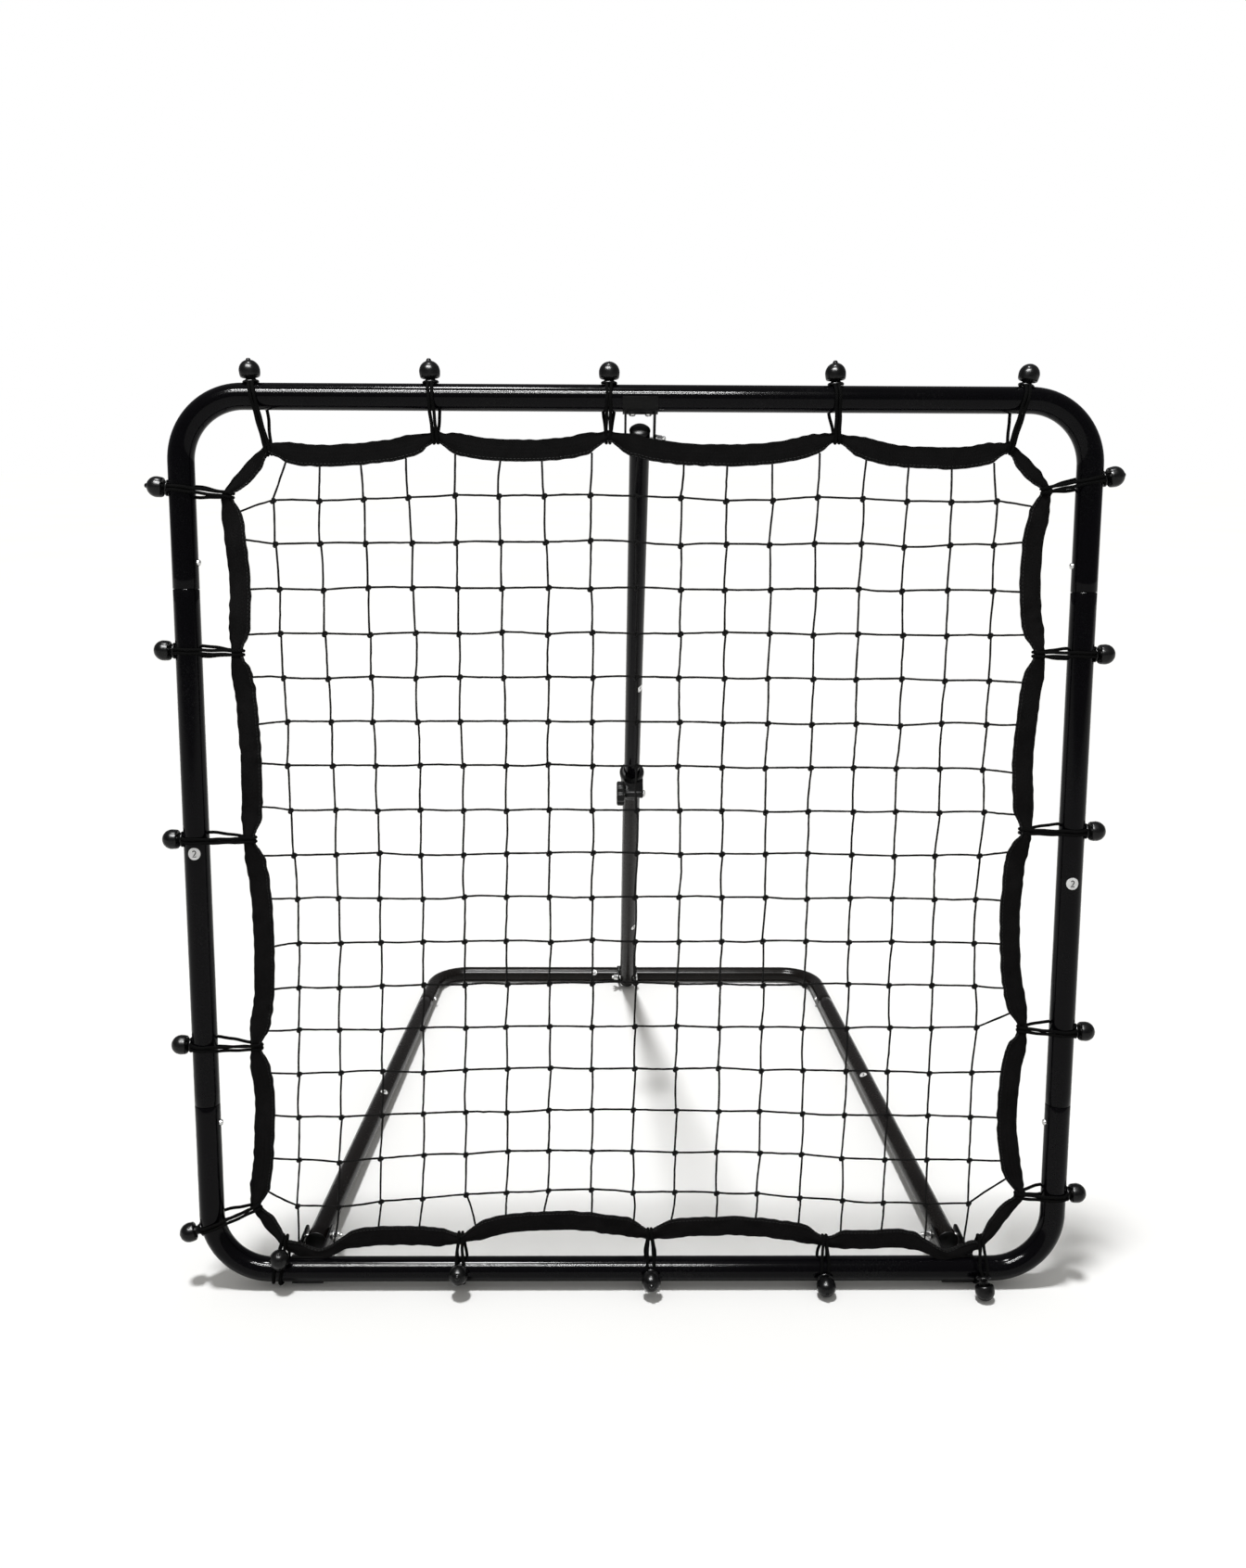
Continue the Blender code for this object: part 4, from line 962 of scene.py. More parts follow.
def clamp():
    top = -LEG_MOUTH + 0.0255
    low = -LEG_MOUTH - 0.030
    neck = LEG_UPPER_TUBE + GAP
    sleeve = LEG_LOWER_TUBE + GAP
    collar = sleeve + 0.0027
    profile = [
        (neck, top - 0.0008),
        (neck + 0.0006, top),
        (neck + 0.0030, top - 0.0003),
        (neck + 0.0050, top - 0.0018),
        (neck + 0.0061, top - 0.0042),
        (neck + 0.0063, top - 0.0068),
        (neck + 0.0058, top - 0.0110),
        (neck + 0.0050, top - 0.0150),
        (neck + 0.0045, top - 0.0190),
        (collar - 0.0001, -LEG_MOUTH + 0.002),
        (collar, -LEG_MOUTH - 0.002),
        (collar, low + 0.0060),
        (collar - 0.0004, low + 0.0030),
        (collar - 0.0012, low + 0.0008),
        (sleeve + 0.0010, low),
        (sleeve, low + 0.0003),
        (sleeve, -LEG_MOUTH + GAP),
        (neck, -LEG_MOUTH + GAP),
    ]
    body = Shape().add(lathe(profile, 64, closed=True))
    bolt_y = -collar - 0.0145
    bolt_z = -LEG_MOUTH + 0.0085
    left, right = -0.0098, 0.0160
    lug = hull(arc((bolt_y, bolt_z), 0.0065, 0, 360, 32) + arc((-0.009, bolt_z - 0.002), 0.009, 0, 360, 32))
    lugs = Shape().add(prism(lug, left, right, 0.0016))
    bore = Shape().add(bar(sleeve + 0.0012, (0.0, 0.0, top), (0.0, 0.0, low - 0.01), 64))
    cuts = Shape()
    notch = [(-0.0105, 0.002), (-0.0088, -0.0035)] + arc((0.0, -0.0062), 0.0018, 180, 360, 10)
    notch += [(0.0088, -0.0035), (0.0105, 0.002)]
    for side in (-1, 1):
        near, far = sorted((0.0, side * HOLE_REACH))
        cuts.add(prism([(y, top + z) for y, z in notch], near, far, 0.0001), turn(90, "Z"))
    slit_end = -LEG_MOUTH + 0.0175
    slit = [(-0.040, low - 0.01), (0.0, low - 0.01), (0.0, slit_end), (-0.040, slit_end)]
    cuts.add(prism(slit, 0.0040, 0.0060, 0.0001))
    cuts.add(bar(BOLT + GAP, (-0.05, bolt_y, bolt_z), (0.05, bolt_y, bolt_z)))
    piece(
        "leg_clamp_collar",
        body,
        [PLASTIC],
        "leg_lower",
        ["leg_clamp_body"],
        LEG,
        joined=(lugs, bore),
        holes=cuts,
    )
    bolt_at = LEG @ shift(0.0, bolt_y, bolt_z) @ turn(90, "Y")
    stem = [(0.0, right + GAP + 0.0032)] + dome(0.0050, right + GAP + 0.0008, 0.0024, 6)
    stem += [(0.0050, right + GAP), (BOLT, right + GAP), (BOLT, left - 0.0080), (0.0, left - 0.0080)]
    bolt = Shape().add(lathe(stem, 32))
    piece("leg_clamp_bolt_steel", bolt, [ZINC], "leg_lower", ["leg_clamp_bolt"], bolt_at)
    knob_at = LEG @ shift(0.0, bolt_y, bolt_z)
    knob_radius, lobes = 0.0175, 6
    angles = np.radians(np.arange(0, 360, 3))
    groove = (0.5 + 0.5 * np.cos(lobes * angles)) ** 3
    radii = knob_radius - 0.0022 * groove
    outline = np.column_stack([radii * np.cos(angles), radii * np.sin(angles)])
    inner, outer = left - GAP, left - GAP - 0.0118
    knob = Shape().add(prism(outline, outer, inner, 0.0026))
    socket = Shape().add(bar(BOLT + GAP, (inner + 0.01, 0.0, 0.0), (outer + 0.003, 0.0, 0.0)))
    dish = [(0.0, 0.0), (0.0062, 0.0012), (0.0068, 0.0030), (0.0, 0.0030)]
    socket.add(lathe(dish, 40), shift(outer, 0.0, 0.0) @ turn(-90, "Y") @ shift(0.0, 0.0, -0.0008))
    node = "leg_clamp_knob"
    piece("leg_clamp_hand_knob", knob, [PLASTIC], node, [node], knob_at, holes=socket)


# ---------------------------------------------------------------- border webbing


def stations():
    """Every bungee in the net frame's (x, z), clockwise from the top left: ball, gathered hem, bow after it."""
    made = []
    for along, hem, pull, bow in TOP_BUNGEES:
        made.append((Vector((along, FRAME_HEIGHT + BALL_OUT)), Vector((hem, FRAME_HEIGHT - pull)), bow))
    for along, hem, pull, bow in RIGHT_BUNGEES:
        made.append((Vector((HALF_WIDTH + BALL_OUT, along)), Vector((HALF_WIDTH - pull, hem)), bow))
    for along, hem, pull, bow in BOTTOM_BUNGEES:
        made.append((Vector((along, -BALL_OUT)), Vector((hem, pull)), bow))
    for along, hem, pull, bow in LEFT_BUNGEES:
        made.append((Vector((-HALF_WIDTH - BALL_OUT, along)), Vector((-HALF_WIDTH + pull, hem)), bow))
    return made


def smooth(t):
    t = np.clip(t, 0.0, 1.0)
    return t * t * (3.0 - 2.0 * t)


def hem_line():
    """The hem's centre line with, at each point, its inward direction and its distance from the nearest gather."""
    places = stations()
    centres, inwards, gaps = [], [], []
    for index, (_, start, bow) in enumerate(places):
        chord = places[(index + 1) % len(places)][1] - start
        inward = Vector((chord.y, -chord.x)).normalized()
        length = chord.length
        near = np.linspace(0.0, 0.5, max(8, round(length / 0.004)) + 1) ** 1.25 * 0.5 ** -0.25
        for t in np.concatenate([near, 1.0 - near[::-1][1:-1]]):
            point = start + chord * t + inward * bow * (1.0 - abs(2.0 * t - 1.0) ** 2.6)
            if point.y < 0.1:
                point.y -= sum(deep * math.exp(-(((point.x - at) / wide) ** 2)) for at, deep, wide in HINGE_DIPS)
            centres.append(point)
            inwards.append(inward)
            gaps.append(min(t, 1.0 - t) * length)
    centres = np.array([tuple(point) for point in centres])
    gaps = np.array(gaps)
    for _ in range(6):
        eased = (np.roll(centres, 1, axis=0) + np.roll(centres, -1, axis=0)) / 2
        centres = centres + (eased - centres) * 0.5
    tangents = np.roll(centres, -1, axis=0) - np.roll(centres, 1, axis=0)
    tangents /= np.linalg.norm(tangents, axis=1)[:, None]
    normals = np.column_stack([tangents[:, 1], -tangents[:, 0]])
    return centres, normals, gaps


def hem_edges(centres, normals, gaps):
    """Half-widths to the inner and outer edge and half-thickness along the hem."""
    swell = smooth((gaps - 0.0030) / 0.0230)
    inner = HEM_HALF_GATHERED + (HEM_HALF - HEM_HALF_GATHERED) * swell
    outer = HEM_HALF_GATHERED + (HEM_HALF - HEM_HALF_GATHERED) * smooth((gaps + 0.004) / 0.030)
    thick = HEM_THICK_GATHERED - 0.0016 * smooth((gaps - 0.0020) / 0.0200)
    for at, _, _ in HINGE_DIPS:
        pinch = np.exp(-(((centres[:, 0] - at) / 0.021) ** 2)) * (centres[:, 1] < 0.1)
        inner = inner * (1.0 - 0.55 * pinch)
        outer = outer * (1.0 - 0.44 * pinch)
        thick = thick * (1.0 + 0.5 * pinch)
    cut_corner = 1.0 - 0.30 * smooth((np.abs(normals).min(axis=1) - 0.25) / 0.25)
    return inner * cut_corner, outer * cut_corner, thick


def slow_noise(seed, count, waves, size):
    """A closed wavering line: a sum of whole waves with seeded phases."""
    random = np.random.default_rng(seed)
    t = 2 * math.pi * np.arange(count) / count
    phases = random.uniform(0, 2 * math.pi, waves)
    strengths = random.normal(0.0, 1.0, waves) / np.sqrt(waves)
    orders = np.arange(1, waves + 1)
    return size * (strengths[:, None] * np.sin(orders[:, None] * t[None] + phases[:, None])).sum(axis=0)


def hem_surface():
    """Rings of the webbing in the net frame, and its centre line."""
    centres, normals, gaps = hem_line()
    inner, outer, thick = hem_edges(centres, normals, gaps)
    count = len(centres)
    depth = slow_noise(3, count, 60, 0.0016)
    inner = inner + slow_noise(5, count, 320, 0.00035)
    outer = outer + slow_noise(7, count, 320, 0.00035)
    sides = HEM_SIDES
    angles = 2 * math.pi * (np.arange(sides) + 0.5) / sides
    cosine, sine = np.cos(angles), np.sin(angles)
    across = np.sign(cosine) * np.abs(cosine) ** 0.40
    lift = np.sign(sine) * np.abs(sine) ** 0.40
    pleat_fade = np.exp(-((gaps / 0.020) ** 2))
    phases = slow_noise(11, count, 40, 1.6)
    rings = np.empty((count, sides, 3))
    for index in range(count):
        reach = np.where(across > 0, inner[index], outer[index]) * across
        folds = 0.0011 * pleat_fade[index] * np.cos(2 * math.pi * 1.5 * across + phases[index])
        folds = folds + 0.0004 * np.sin(3.1 * across + 5.0 * phases[index])
        curl = 0.0008 * (across**2) * math.sin(7.0 * phases[index])
        flat = centres[index] + np.outer(reach, normals[index])
        rings[index, :, 0] = flat[:, 0]
        rings[index, :, 2] = flat[:, 1]
        rings[index, :, 1] = depth[index] + lift * thick[index] + folds + curl
    return rings, centres


def stitch(start, end):
    """One short stitch with tapered ends."""
    radius, sides = 0.00028, 4
    start, end = np.array(start), np.array(end)
    path = [start, start * 0.9 + end * 0.1, start * 0.1 + end * 0.9, end]
    return sweep(path, [radius * 0.45, radius, radius, radius * 0.45], sides)


def webbing():
    rings, centres = hem_surface()
    run = np.linalg.norm(np.diff(centres, axis=0), axis=1)
    along = np.concatenate([[0.0], np.cumsum(run)])
    shape = Shape().add(grid_part(rings, closed=True, girth=4 * HEM_HALF, along=along))
    nodes = ["net_border_webbing"]
    piece("border_webbing_strip", shape, [WEBBING], "frame", nodes, NET_FRAME, sharp=180)
    stitches = Shape()
    pitch = 0.0042
    sides = rings.shape[1]
    rows = []
    for face in (1, -1):
        for share in (0.12, 0.30):
            rows.append((face, round(sides * share / 2) if face > 0 else sides - 1 - round(sides * share / 2)))
    for face, column in rows:
        line = rings[:, column]
        steps = np.linalg.norm(np.diff(line, axis=0), axis=1)
        places = np.concatenate([[0.0], np.cumsum(steps)])
        count = int(places[-1] / pitch)
        for step in range(count):
            ends = []
            for place in (step * pitch, step * pitch + pitch * 0.72):
                ends.append([np.interp(place, places, line[:, axis]) for axis in range(3)])
            for end in ends:
                end[1] += face * 0.00008
            stitches.add(stitch(*ends))
    piece("border_webbing_stitching", stitches, [THREAD], "frame", [], NET_FRAME, sharp=180)
    return rings


# ---------------------------------------------------------------- net


def inner_edge(rings):
    """The hem's inner edge as points: of the columns next to it, the one furthest from the middle."""
    middle = rings.mean(axis=1)
    columns = (0, 1, HEM_SIDES - 2, HEM_SIDES - 1)
    reach = [np.linalg.norm(rings[:, column] - middle, axis=1).sum() for column in columns]
    return rings[:, columns[int(np.argmax(reach))]]


def anchor(edge, axis, value, far):
    """Where the hem's inner edge crosses a line of the net, on its far or near side."""
    other = 2 - axis
    best = None
    for before, after in zip(edge, np.roll(edge, -1, axis=0)):
        low, high = before[axis] - value, after[axis] - value
        if low * high > 0 or low == high:
            continue
        t = low / (low - high)
        point = before + (after - before) * t
        if best is None or (point[other] > best[other]) == far:
            best = point
    return best


def clear_of_gathers(value, hems):
    """Moves a border strand's place along its side until it misses the gathers, at the corners towards the middle."""
    room = 0.018
    middle = (max(hems) + min(hems)) / 2
    for hem in hems:
        if abs(value - hem) < room:
            inward = middle - hem if hem in (max(hems), min(hems)) else value - hem
            value = hem + math.copysign(room, inward)
    return value


def knot_places(edge):
    """Places of the net's knots, with the strands' ends on the hem round them.

    The net is regular where it hangs free. Its border strands keep their length, so each scallop of the hem moves
    the knots next to it, and the strands pass that on inwards.
    """
    random = np.random.default_rng(21)
    columns = np.linspace(-0.391, 0.387, NET_COLUMNS)
    rows = np.linspace(0.079, 0.875, NET_ROWS)
    rows = rows + 0.003 + 0.0078 * np.sin(np.pi * np.linspace(0.0, 1.0, NET_ROWS))
    gathers = [[row[1] for row in side] for side in (TOP_BUNGEES, RIGHT_BUNGEES, BOTTOM_BUNGEES, LEFT_BUNGEES)]
    grid = np.full((NET_ROWS + 2, NET_COLUMNS + 2, 3), np.nan)
    moved = np.zeros((NET_ROWS + 2, NET_COLUMNS + 2, 2))
    for column, x in enumerate(columns):
        for row, hems, reach, far in ((0, gathers[2], -0.033, False), (-1, gathers[0], 0.039, True)):
            end = anchor(edge, 0, clear_of_gathers(x + random.normal(0.0, 0.002), hems), far)
            grid[row, column + 1] = end
            moved[row, column + 1] = (end[0] - x) * 0.3, end[2] - (rows[row] + reach)
    for row, z in enumerate(rows):
        for column, hems, reach, far in ((0, gathers[3], -0.033, False), (-1, gathers[1], 0.033, True)):
            end = anchor(edge, 2, clear_of_gathers(z + random.normal(0.0, 0.003), hems), far)
            grid[row + 1, column] = end
            moved[row + 1, column] = end[0] - (columns[column] + reach), (end[2] - z) * 0.5
    for _ in range(600):
        mean = (moved[:-2, 1:-1] + moved[2:, 1:-1] + moved[1:-1, :-2] + moved[1:-1, 2:]) / 4
        moved[1:-1, 1:-1] = mean
    inside = moved[1:-1, 1:-1] + random.normal(0.0, 0.0008, (NET_ROWS, NET_COLUMNS, 2))
    grid[1:-1, 1:-1, 0] = columns[None, :] + inside[..., 0]
    grid[1:-1, 1:-1, 1] = random.normal(0.0, 0.0008, (NET_ROWS, NET_COLUMNS))
    grid[1:-1, 1:-1, 2] = rows[:, None] + inside[..., 1]
    return grid


def strand(random, start, end):
    """One strand of twine, a little bowed and uneven."""
    radius, sides = 0.00115, 7
    start, end = np.array(start), np.array(end)
    count = 8
    t = np.linspace(0.0, 1.0, count)
    bow = random.normal(0.0, 0.0005, 3)
    kink = random.normal(0.0, 0.00012, (count, 3)) * np.sin(math.pi * t)[:, None]
    path = start + (end - start) * t[:, None] + np.sin(math.pi * t)[:, None] * bow + kink
    return sweep(path, radius * (1.0 + random.normal(0.0, 0.04, count)), sides, up=(0.0, 1.0, 0.0))


def knot(random, shape, centre):
    """A sheet bend: two tight loops of twine locked through each other, and the strands' crossing."""
    spin = random.uniform(-15, 15)
    base = Matrix.Translation(centre) @ turn(spin, "Y")
    for across, up, size, tilt, lean in (
        (0.0005, 0.0007, 0.0017, 38, 20),
        (-0.0006, -0.0009, 0.0015, -52, -25),
    ):
        matrix = base @ shift(across, 0.0, up) @ turn(tilt, "Y") @ turn(lean, "X")
        angles = 2 * math.pi * np.arange(12) / 12
        ring = np.column_stack([size * 1.25 * np.cos(angles), 0.0006 * np.sin(2 * angles), size * np.sin(angles)])
        shape.add(sweep(ring, 0.00120, 7, closed=True, up=(0.0, 1.0, 0.0)), matrix)


def net(rings):
    random = np.random.default_rng(33)
    grid = knot_places(inner_edge(rings))
    shape = Shape()
    rows, columns = grid.shape[:2]
    for row in range(rows):
        for column in range(columns):
            inner_row, inner_column = 0 < row < rows - 1, 0 < column < columns - 1
            here = grid[row, column]
            if inner_row and inner_column:
                knot(random, shape, here)
            if inner_row and column < columns - 1:
                there = grid[row, column + 1]
                shape.add(strand(random, here + (0, 0, 0.0006), there + (0, 0, 0.0006)))
            if inner_column and row < rows - 1:
                there = grid[row + 1, column]
                shape.add(strand(random, here + (-0.0008, 0, 0), there + (0.0006, 0, 0)))
    piece("net_mesh_twine", shape, [TWINE], "frame", ["net"], NET_FRAME, sharp=180)


# ---------------------------------------------------------------- ball bungees


def tube_distance(point):
    """Distance of (x, z) from the frame's centre line, positive outside."""
    reach = (HALF_WIDTH - FRAME_BEND, FRAME_HEIGHT / 2 - FRAME_BEND)
    beyond = (abs(point[0]) - reach[0], abs(point[1] - FRAME_HEIGHT / 2) - reach[1])
    outside = math.hypot(max(beyond[0], 0.0), max(beyond[1], 0.0))
    return outside + min(max(beyond), 0.0) - FRAME_BEND


def crossing(ball, hem):
    """Where the line from hem to ball crosses the frame's centre line."""
    low, high = 0.0, 1.0
    for _ in range(30):
        middle = (low + high) / 2
        if tube_distance(hem.lerp(ball, middle)) < 0.0:
            low = middle
        else:
            high = middle
    return hem.lerp(ball, low)


def ball_profile(nub, stem):
    """Half section of the moulded ball from its crown down: dome, hollow skirt, neck and the flange on the tube."""
    profile = [(0.0, BALL + nub)]
    if nub > 0.001:
        profile += [(0.0013, BALL + nub - 0.0001), (0.0022, BALL + nub - 0.0007), (0.0026, BALL + nub - 0.0018)]
        profile += [(0.0034, BALL - 0.0009)]
    low = 22 if nub > 0.001 else 4
    for step in range(16):
        angle = math.radians(low + (96 - low) * step / 15)
        profile.append((BALL * math.sin(angle), BALL * math.cos(angle)))
    profile += [(0.0108, -0.0032), (0.0105, -0.0052), (0.0101, -0.0062), (0.0094, -0.0066), (0.0086, -0.0062)]
    profile += [(0.0078, -0.0046), (0.0064, -0.0034), (0.0054, -0.0040), (0.0050, -0.0060), (0.0050, -stem + 0.0046)]
    profile += [(0.0058, -stem + 0.0036), (0.0080, -stem + 0.0028), (0.0087, -stem + 0.0020)]
    profile += [(0.0087, -stem + 0.0008), (0.0080, -stem + 0.0001), (0.0, -stem + 0.0001)]
    return profile


def tangent_loop(rounds):
    """The taut line round circles (x, y, radius), as points in order with even spacing."""
    step = 0.0012
    points = []
    for x, y, radius in rounds:
        points += [(x + radius * math.cos(a), y + radius * math.sin(a)) for a in np.radians(np.arange(0, 360, 6))]
    edge = np.array(hull(points))
    ends = np.roll(edge, -1, axis=0)
    lengths = np.linalg.norm(ends - edge, axis=1)
    places = np.concatenate([[0.0], np.cumsum(lengths)])
    closed = np.vstack([edge, edge[:1]])
    count = max(24, round(places[-1] / step))
    samples = np.linspace(0.0, places[-1], count, endpoint=False)
    return np.column_stack([np.interp(samples, places, closed[:, axis]) for axis in range(2)])


def bungee(index, ball, hem, front, nub, aim):
    """One ball bungee: a moulded ball and an elastic loop round the tube and the gathered hem.

    Local X is depth, Y runs outward from the hem to the ball and Z along the tube.
    """
    centre = crossing(ball, hem)
    outward = (ball - hem).normalized()
    across = Vector((outward.x, 0.0, outward.y))
    depth = Vector((0.0, 1.0, 0.0))
    lie = Matrix((depth, across, depth.cross(across))).transposed().to_4x4()
    place = NET_FRAME @ shift(centre.x, 0.0, centre.y) @ lie
    at = Vector((0.0, (ball - centre).length, 0.0))
    bearing = math.pi / 2
    if front:
        at = Vector((*front[:2], 0.0))
        bearing = math.radians(front[2])
    heading = (Vector((-math.cos(bearing), math.sin(bearing), 0.0)) + Vector(aim)).normalized()
    stem = min(at.length - FRAME_TUBE, 0.0165)
    foot = at - heading * (stem - 0.0022)
    point_out = heading.to_track_quat("Z", "X").to_matrix().to_4x4()
    shape = Shape().add(lathe(ball_profile(nub, stem), 48), Matrix.Translation(at) @ point_out)
    hem_at = -(centre - hem).length - (HEM_HALF_GATHERED - HEM_THICK_GATHERED)
    rounds = [
        (0.0, 0.0, FRAME_TUBE + CORD),
        (0.0, hem_at, HEM_THICK_GATHERED + CORD),
        (foot.x, foot.y, 0.0016),
    ]
    loop = tangent_loop(rounds)
    reach = np.hypot(loop[:, 0] - foot.x, loop[:, 1] - foot.y)
    near_ball = smooth(1.0 - reach / (0.008 if front else 0.016))
    near_hem = smooth((-0.012 - loop[:, 1]) / (-0.012 - hem_at))
    spread_front = 0.0040 if front else 0.0020
    middle = spread_front + (0.0056 - spread_front) * smooth((loop[:, 0] + 0.010) / 0.020)
    gap = middle * (1.0 - near_hem) + 0.0021 * near_hem
    gap = gap * (1.0 - near_ball) + 0.0024 * near_ball
    random = np.random.default_rng(100 + index)
    cords = Shape()
    for side in (-1, 1):
        waver = 0.00025 * np.sin(np.arange(len(loop)) * 0.31 + random.uniform(0, 6))
        path = np.column_stack([loop, side * gap + waver])
        path = (np.roll(path, 1, axis=0) + path * 2 + np.roll(path, -1, axis=0)) / 4
        cords.add(sweep(path, CORD, 12, closed=True, up=(0.0, 0.0, 1.0)))
    name = "ball_bungee_%02d" % (index + 1)
    shape.add((np.concatenate(cords.points), cords.faces, cords.uvs), paint=1)
    piece(name + "_assembly", shape, [BALL_PLASTIC, ELASTIC], "frame", [name], place, sharp=50)


def bungees():
    nubs = {0: 0.0018, 1: 0.0024, 3: 0.0024, 5: 0.0012, 11: 0.0014, 12: 0.0014, 13: 0.0014, 19: 0.0024}
    aims = {10: (0.0, 0.0, -0.1), 0: (0.0, 0.0, 0.12), 15: (-0.2, 0.0, 0.15)}
    fronts = dict(enumerate(BOTTOM_BALLS, len(TOP_BUNGEES) + len(RIGHT_BUNGEES)))
    for index, (ball, hem, _) in enumerate(stations()):
        bungee(index, ball, hem, fronts.get(index), nubs.get(index, 0.0006), aims.get(index, (0.0, 0.0, 0.0)))


# ---------------------------------------------------------------- small labels


def digit_strokes(kind):
    """Centre line of a plain figure, in a box one unit high."""
    if kind == "2":
        return arc((0.0, 0.22), 0.24, 160, -35, 10) + [(0.02, -0.20), (-0.26, -0.46), (0.28, -0.46)]
    if kind == "3":
        return arc((-0.02, 0.22), 0.22, 150, -80, 10) + arc((-0.02, -0.22), 0.25, 85, -150, 10)
    return [(-0.14, 0.28), (0.04, 0.46), (0.04, -0.46)]


def curved_disc(tube, radius, lift):
    """A thin disc wrapped on a tube along Z, centred on +X."""
    rings = []
    steps = 40
    for height, share in ((0.0, 1.0), (lift, 1.0), (lift, 0.66), (lift, 0.33), (lift, 0.02)):
        reach = radius * share
        out = tube + height
        ring = []
        for step in range(steps):
            angle = 2 * math.pi * step / steps
            wrap = reach * math.cos(angle) / tube
            ring.append((out * math.cos(wrap), out * math.sin(wrap), reach * math.sin(angle)))
        rings.append(ring)
    return grid_part(rings)


def label(name, tube, place, body, figure, radius=0.0068):
    shape = Shape().add(curved_disc(tube, radius, 0.00012))
    size = radius * 1.05
    path = []
    for across, up in digit_strokes(figure):
        wrap = across * size / tube
        out = tube + (-0.00029 if body == "leg_upper" else 0.00016)
        path.append((out * math.cos(wrap), out * math.sin(wrap), up * size))
    shape.add(sweep(path, 0.00055, 8, up=(1.0, 0.0, 0.0)), paint=1)
    piece(name, shape, [LABEL, PRINT], body, [], place, sharp=60)


def labels():
    for side, word, up in ((-1, "left", 0.492), (1, "right", 0.460)):
        place = NET_FRAME @ shift(side * HALF_WIDTH, 0, up) @ turn(-90 - side * 4, "Z")
        label("frame_label_" + word, FRAME_TUBE, place, "frame", "2")
    rail = BASE @ shift(-0.057, BASE_SPAN, 0.0) @ turn(90, "Y") @ turn(-125, "Z")
    label("base_label_rear", BASE_TUBE, rail, "base", "3", 0.0055)
    for side, word, along in ((-1, "left", 0.488), (1, "right", 0.432)):
        place = BASE @ arm_frame(side) @ shift(0.0, 0.0, BASE_SPAN - along) @ turn(-90 - side * 20, "Z")
        label("base_label_" + word, BASE_TUBE, place, "base", "2", 0.0055)
    for word, tube, along in (("upper", LEG_UPPER_TUBE, -0.396), ("lower", LEG_LOWER_TUBE, -0.999)):
        place = LEG @ shift(0.0, 0.0, along) @ turn(-42, "Z")
        label("leg_label_" + word, tube, place, "leg_" + word, "1", 0.0055)


# ---------------------------------------------------------------- stage, light and camera


def floor():
    """A plain pale floor."""
    points, faces, _ = lathe([(0.0, 0.0), (2.0, 0.0), (60.0, 0.0)], 64)
    mesh = bpy.data.meshes.new("floor")
    mesh.from_pydata([tuple(point) for point in points], [], [face[::-1] for face in faces])
    obj = bpy.data.objects.new("floor", mesh)
    bpy.context.scene.collection.objects.link(obj)
    look = Look("floor_white", (0.93, 0.93, 0.92), 0.7, ior=1.15)
    tone = look.noise(0.8, 3.0, 0.5)
    look.base(look.mix(look.remap(tone, 0.3, 0.7, 0.0, 1.0), (0.955, 0.955, 0.95), (0.93, 0.93, 0.925)))
    mesh.materials.append(look.material)


def strip(name, position, power):
    """A narrow lamp that gives the paint its highlights without washing out the floor's shadows."""
    data = bpy.data.lights.new(name, "AREA")
    data.shape = "RECTANGLE"
    data.size, data.size_y = 1.5, 0.05
    data.energy = power
    obj = bpy.data.objects.new(name, data)
    obj.location = position
    target = Vector((-0.3, -0.35, 0.9))
    obj.rotation_euler = (target - Vector(position)).to_track_quat("-Z", "Y").to_euler()
    obj.visible_diffuse = False
    bpy.context.scene.collection.objects.link(obj)


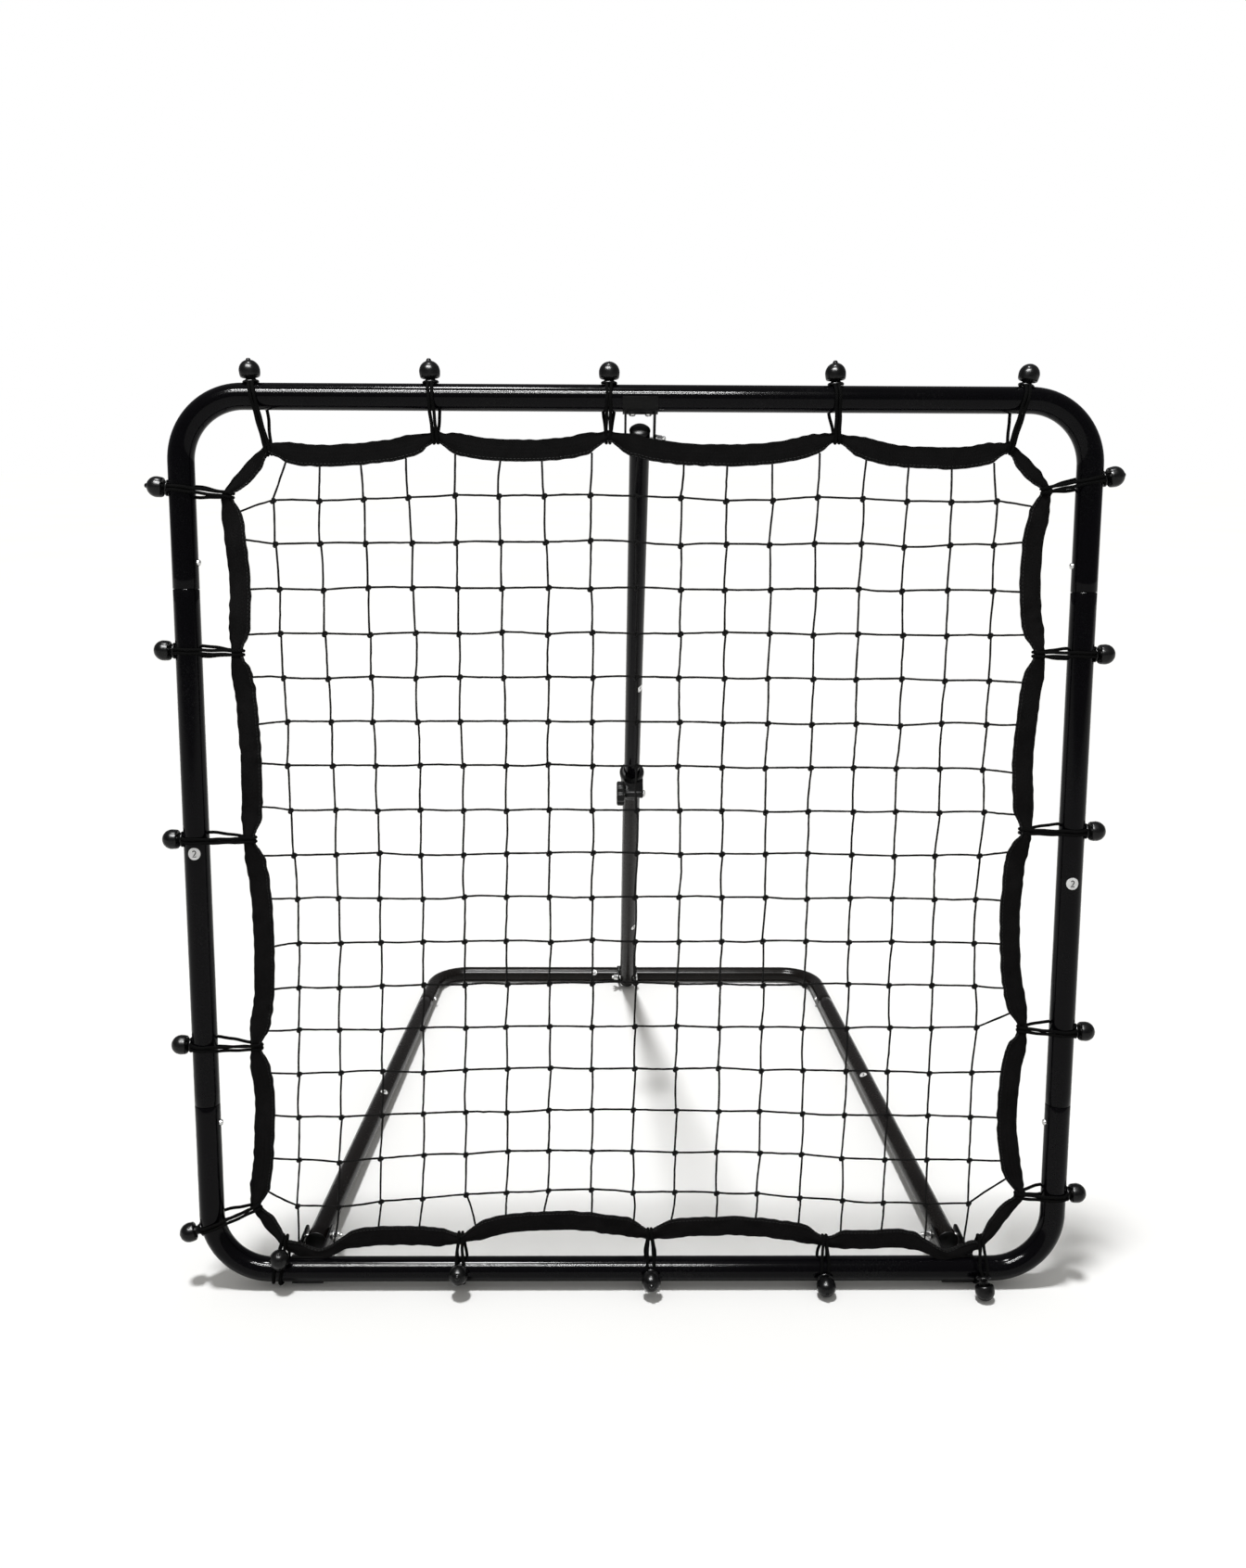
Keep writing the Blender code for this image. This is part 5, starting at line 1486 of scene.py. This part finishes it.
def light():
    """A bright room with a broad overhead light, dim in the paint's reflections except for two strip lamps."""
    scene = bpy.context.scene
    world = bpy.data.worlds.new("studio")
    scene.world = world
    world.use_nodes = True
    tree = world.node_tree
    room = tree.nodes["Background"]
    path = tree.nodes.new("ShaderNodeLightPath")
    seen = {"Is Camera Ray": (1.0, 1.0, 1.0), "Is Glossy Ray": (0.25, 0.25, 0.26)}
    color = None
    for ray, shade in seen.items():
        mixed = tree.nodes.new("ShaderNodeMix")
        mixed.data_type = "RGBA"
        first, second = (socket for socket in mixed.inputs if socket.type == "RGBA")
        tree.links.new(path.outputs[ray], mixed.inputs["Factor"])
        if color is None:
            first.default_value = (0.385, 0.38, 0.365, 1.0)
        else:
            tree.links.new(color, first)
        second.default_value = (*shade, 1.0)
        color = next(socket for socket in mixed.outputs if socket.type == "RGBA")
    tree.links.new(color, room.inputs["Color"])
    sun = bpy.data.lights.new("overhead", "SUN")
    sun.energy = 2.35
    sun.angle = math.radians(7.0)
    lamp = bpy.data.objects.new("overhead", sun)
    lamp.rotation_euler = Vector((0.10, 0.02, -1.0)).to_track_quat("-Z", "Y").to_euler()
    scene.collection.objects.link(lamp)
    strip("strip_front_high", (-0.45, -1.5, 2.7), 190)
    strip("strip_front_low", (-0.45, -2.0, 2.5), 90)
    scene.view_settings.view_transform = "Standard"


def camera():
    scene = bpy.context.scene
    data = bpy.data.cameras.new("camera")
    data.sensor_fit = "AUTO"
    data.sensor_width = 36.0
    data.lens = 29.8
    data.clip_start = 0.05
    obj = bpy.data.objects.new("camera", data)
    scene.collection.objects.link(obj)
    place = (-0.028, -1.760, 0.938)
    pitch, yaw, roll = (math.radians(angle) for angle in (14.26, 0.58, 0.27))
    forward = Vector((math.sin(yaw) * math.cos(pitch), math.cos(yaw) * math.cos(pitch), -math.sin(pitch)))
    level = Vector((math.cos(yaw), -math.sin(yaw), 0.0))
    up = level.cross(forward)
    right = level * math.cos(roll) + up * math.sin(roll)
    top = up * math.cos(roll) - level * math.sin(roll)
    turned = Matrix((right, top, -forward)).transposed().to_4x4()
    obj.matrix_world = Matrix.Translation(place) @ turned
    scene.camera = obj


camera()
frame_tubes()
base_tubes()
leg_tubes()
brackets()
buttons()
clamp()
net(webbing())
bungees()
labels()
floor()
light()
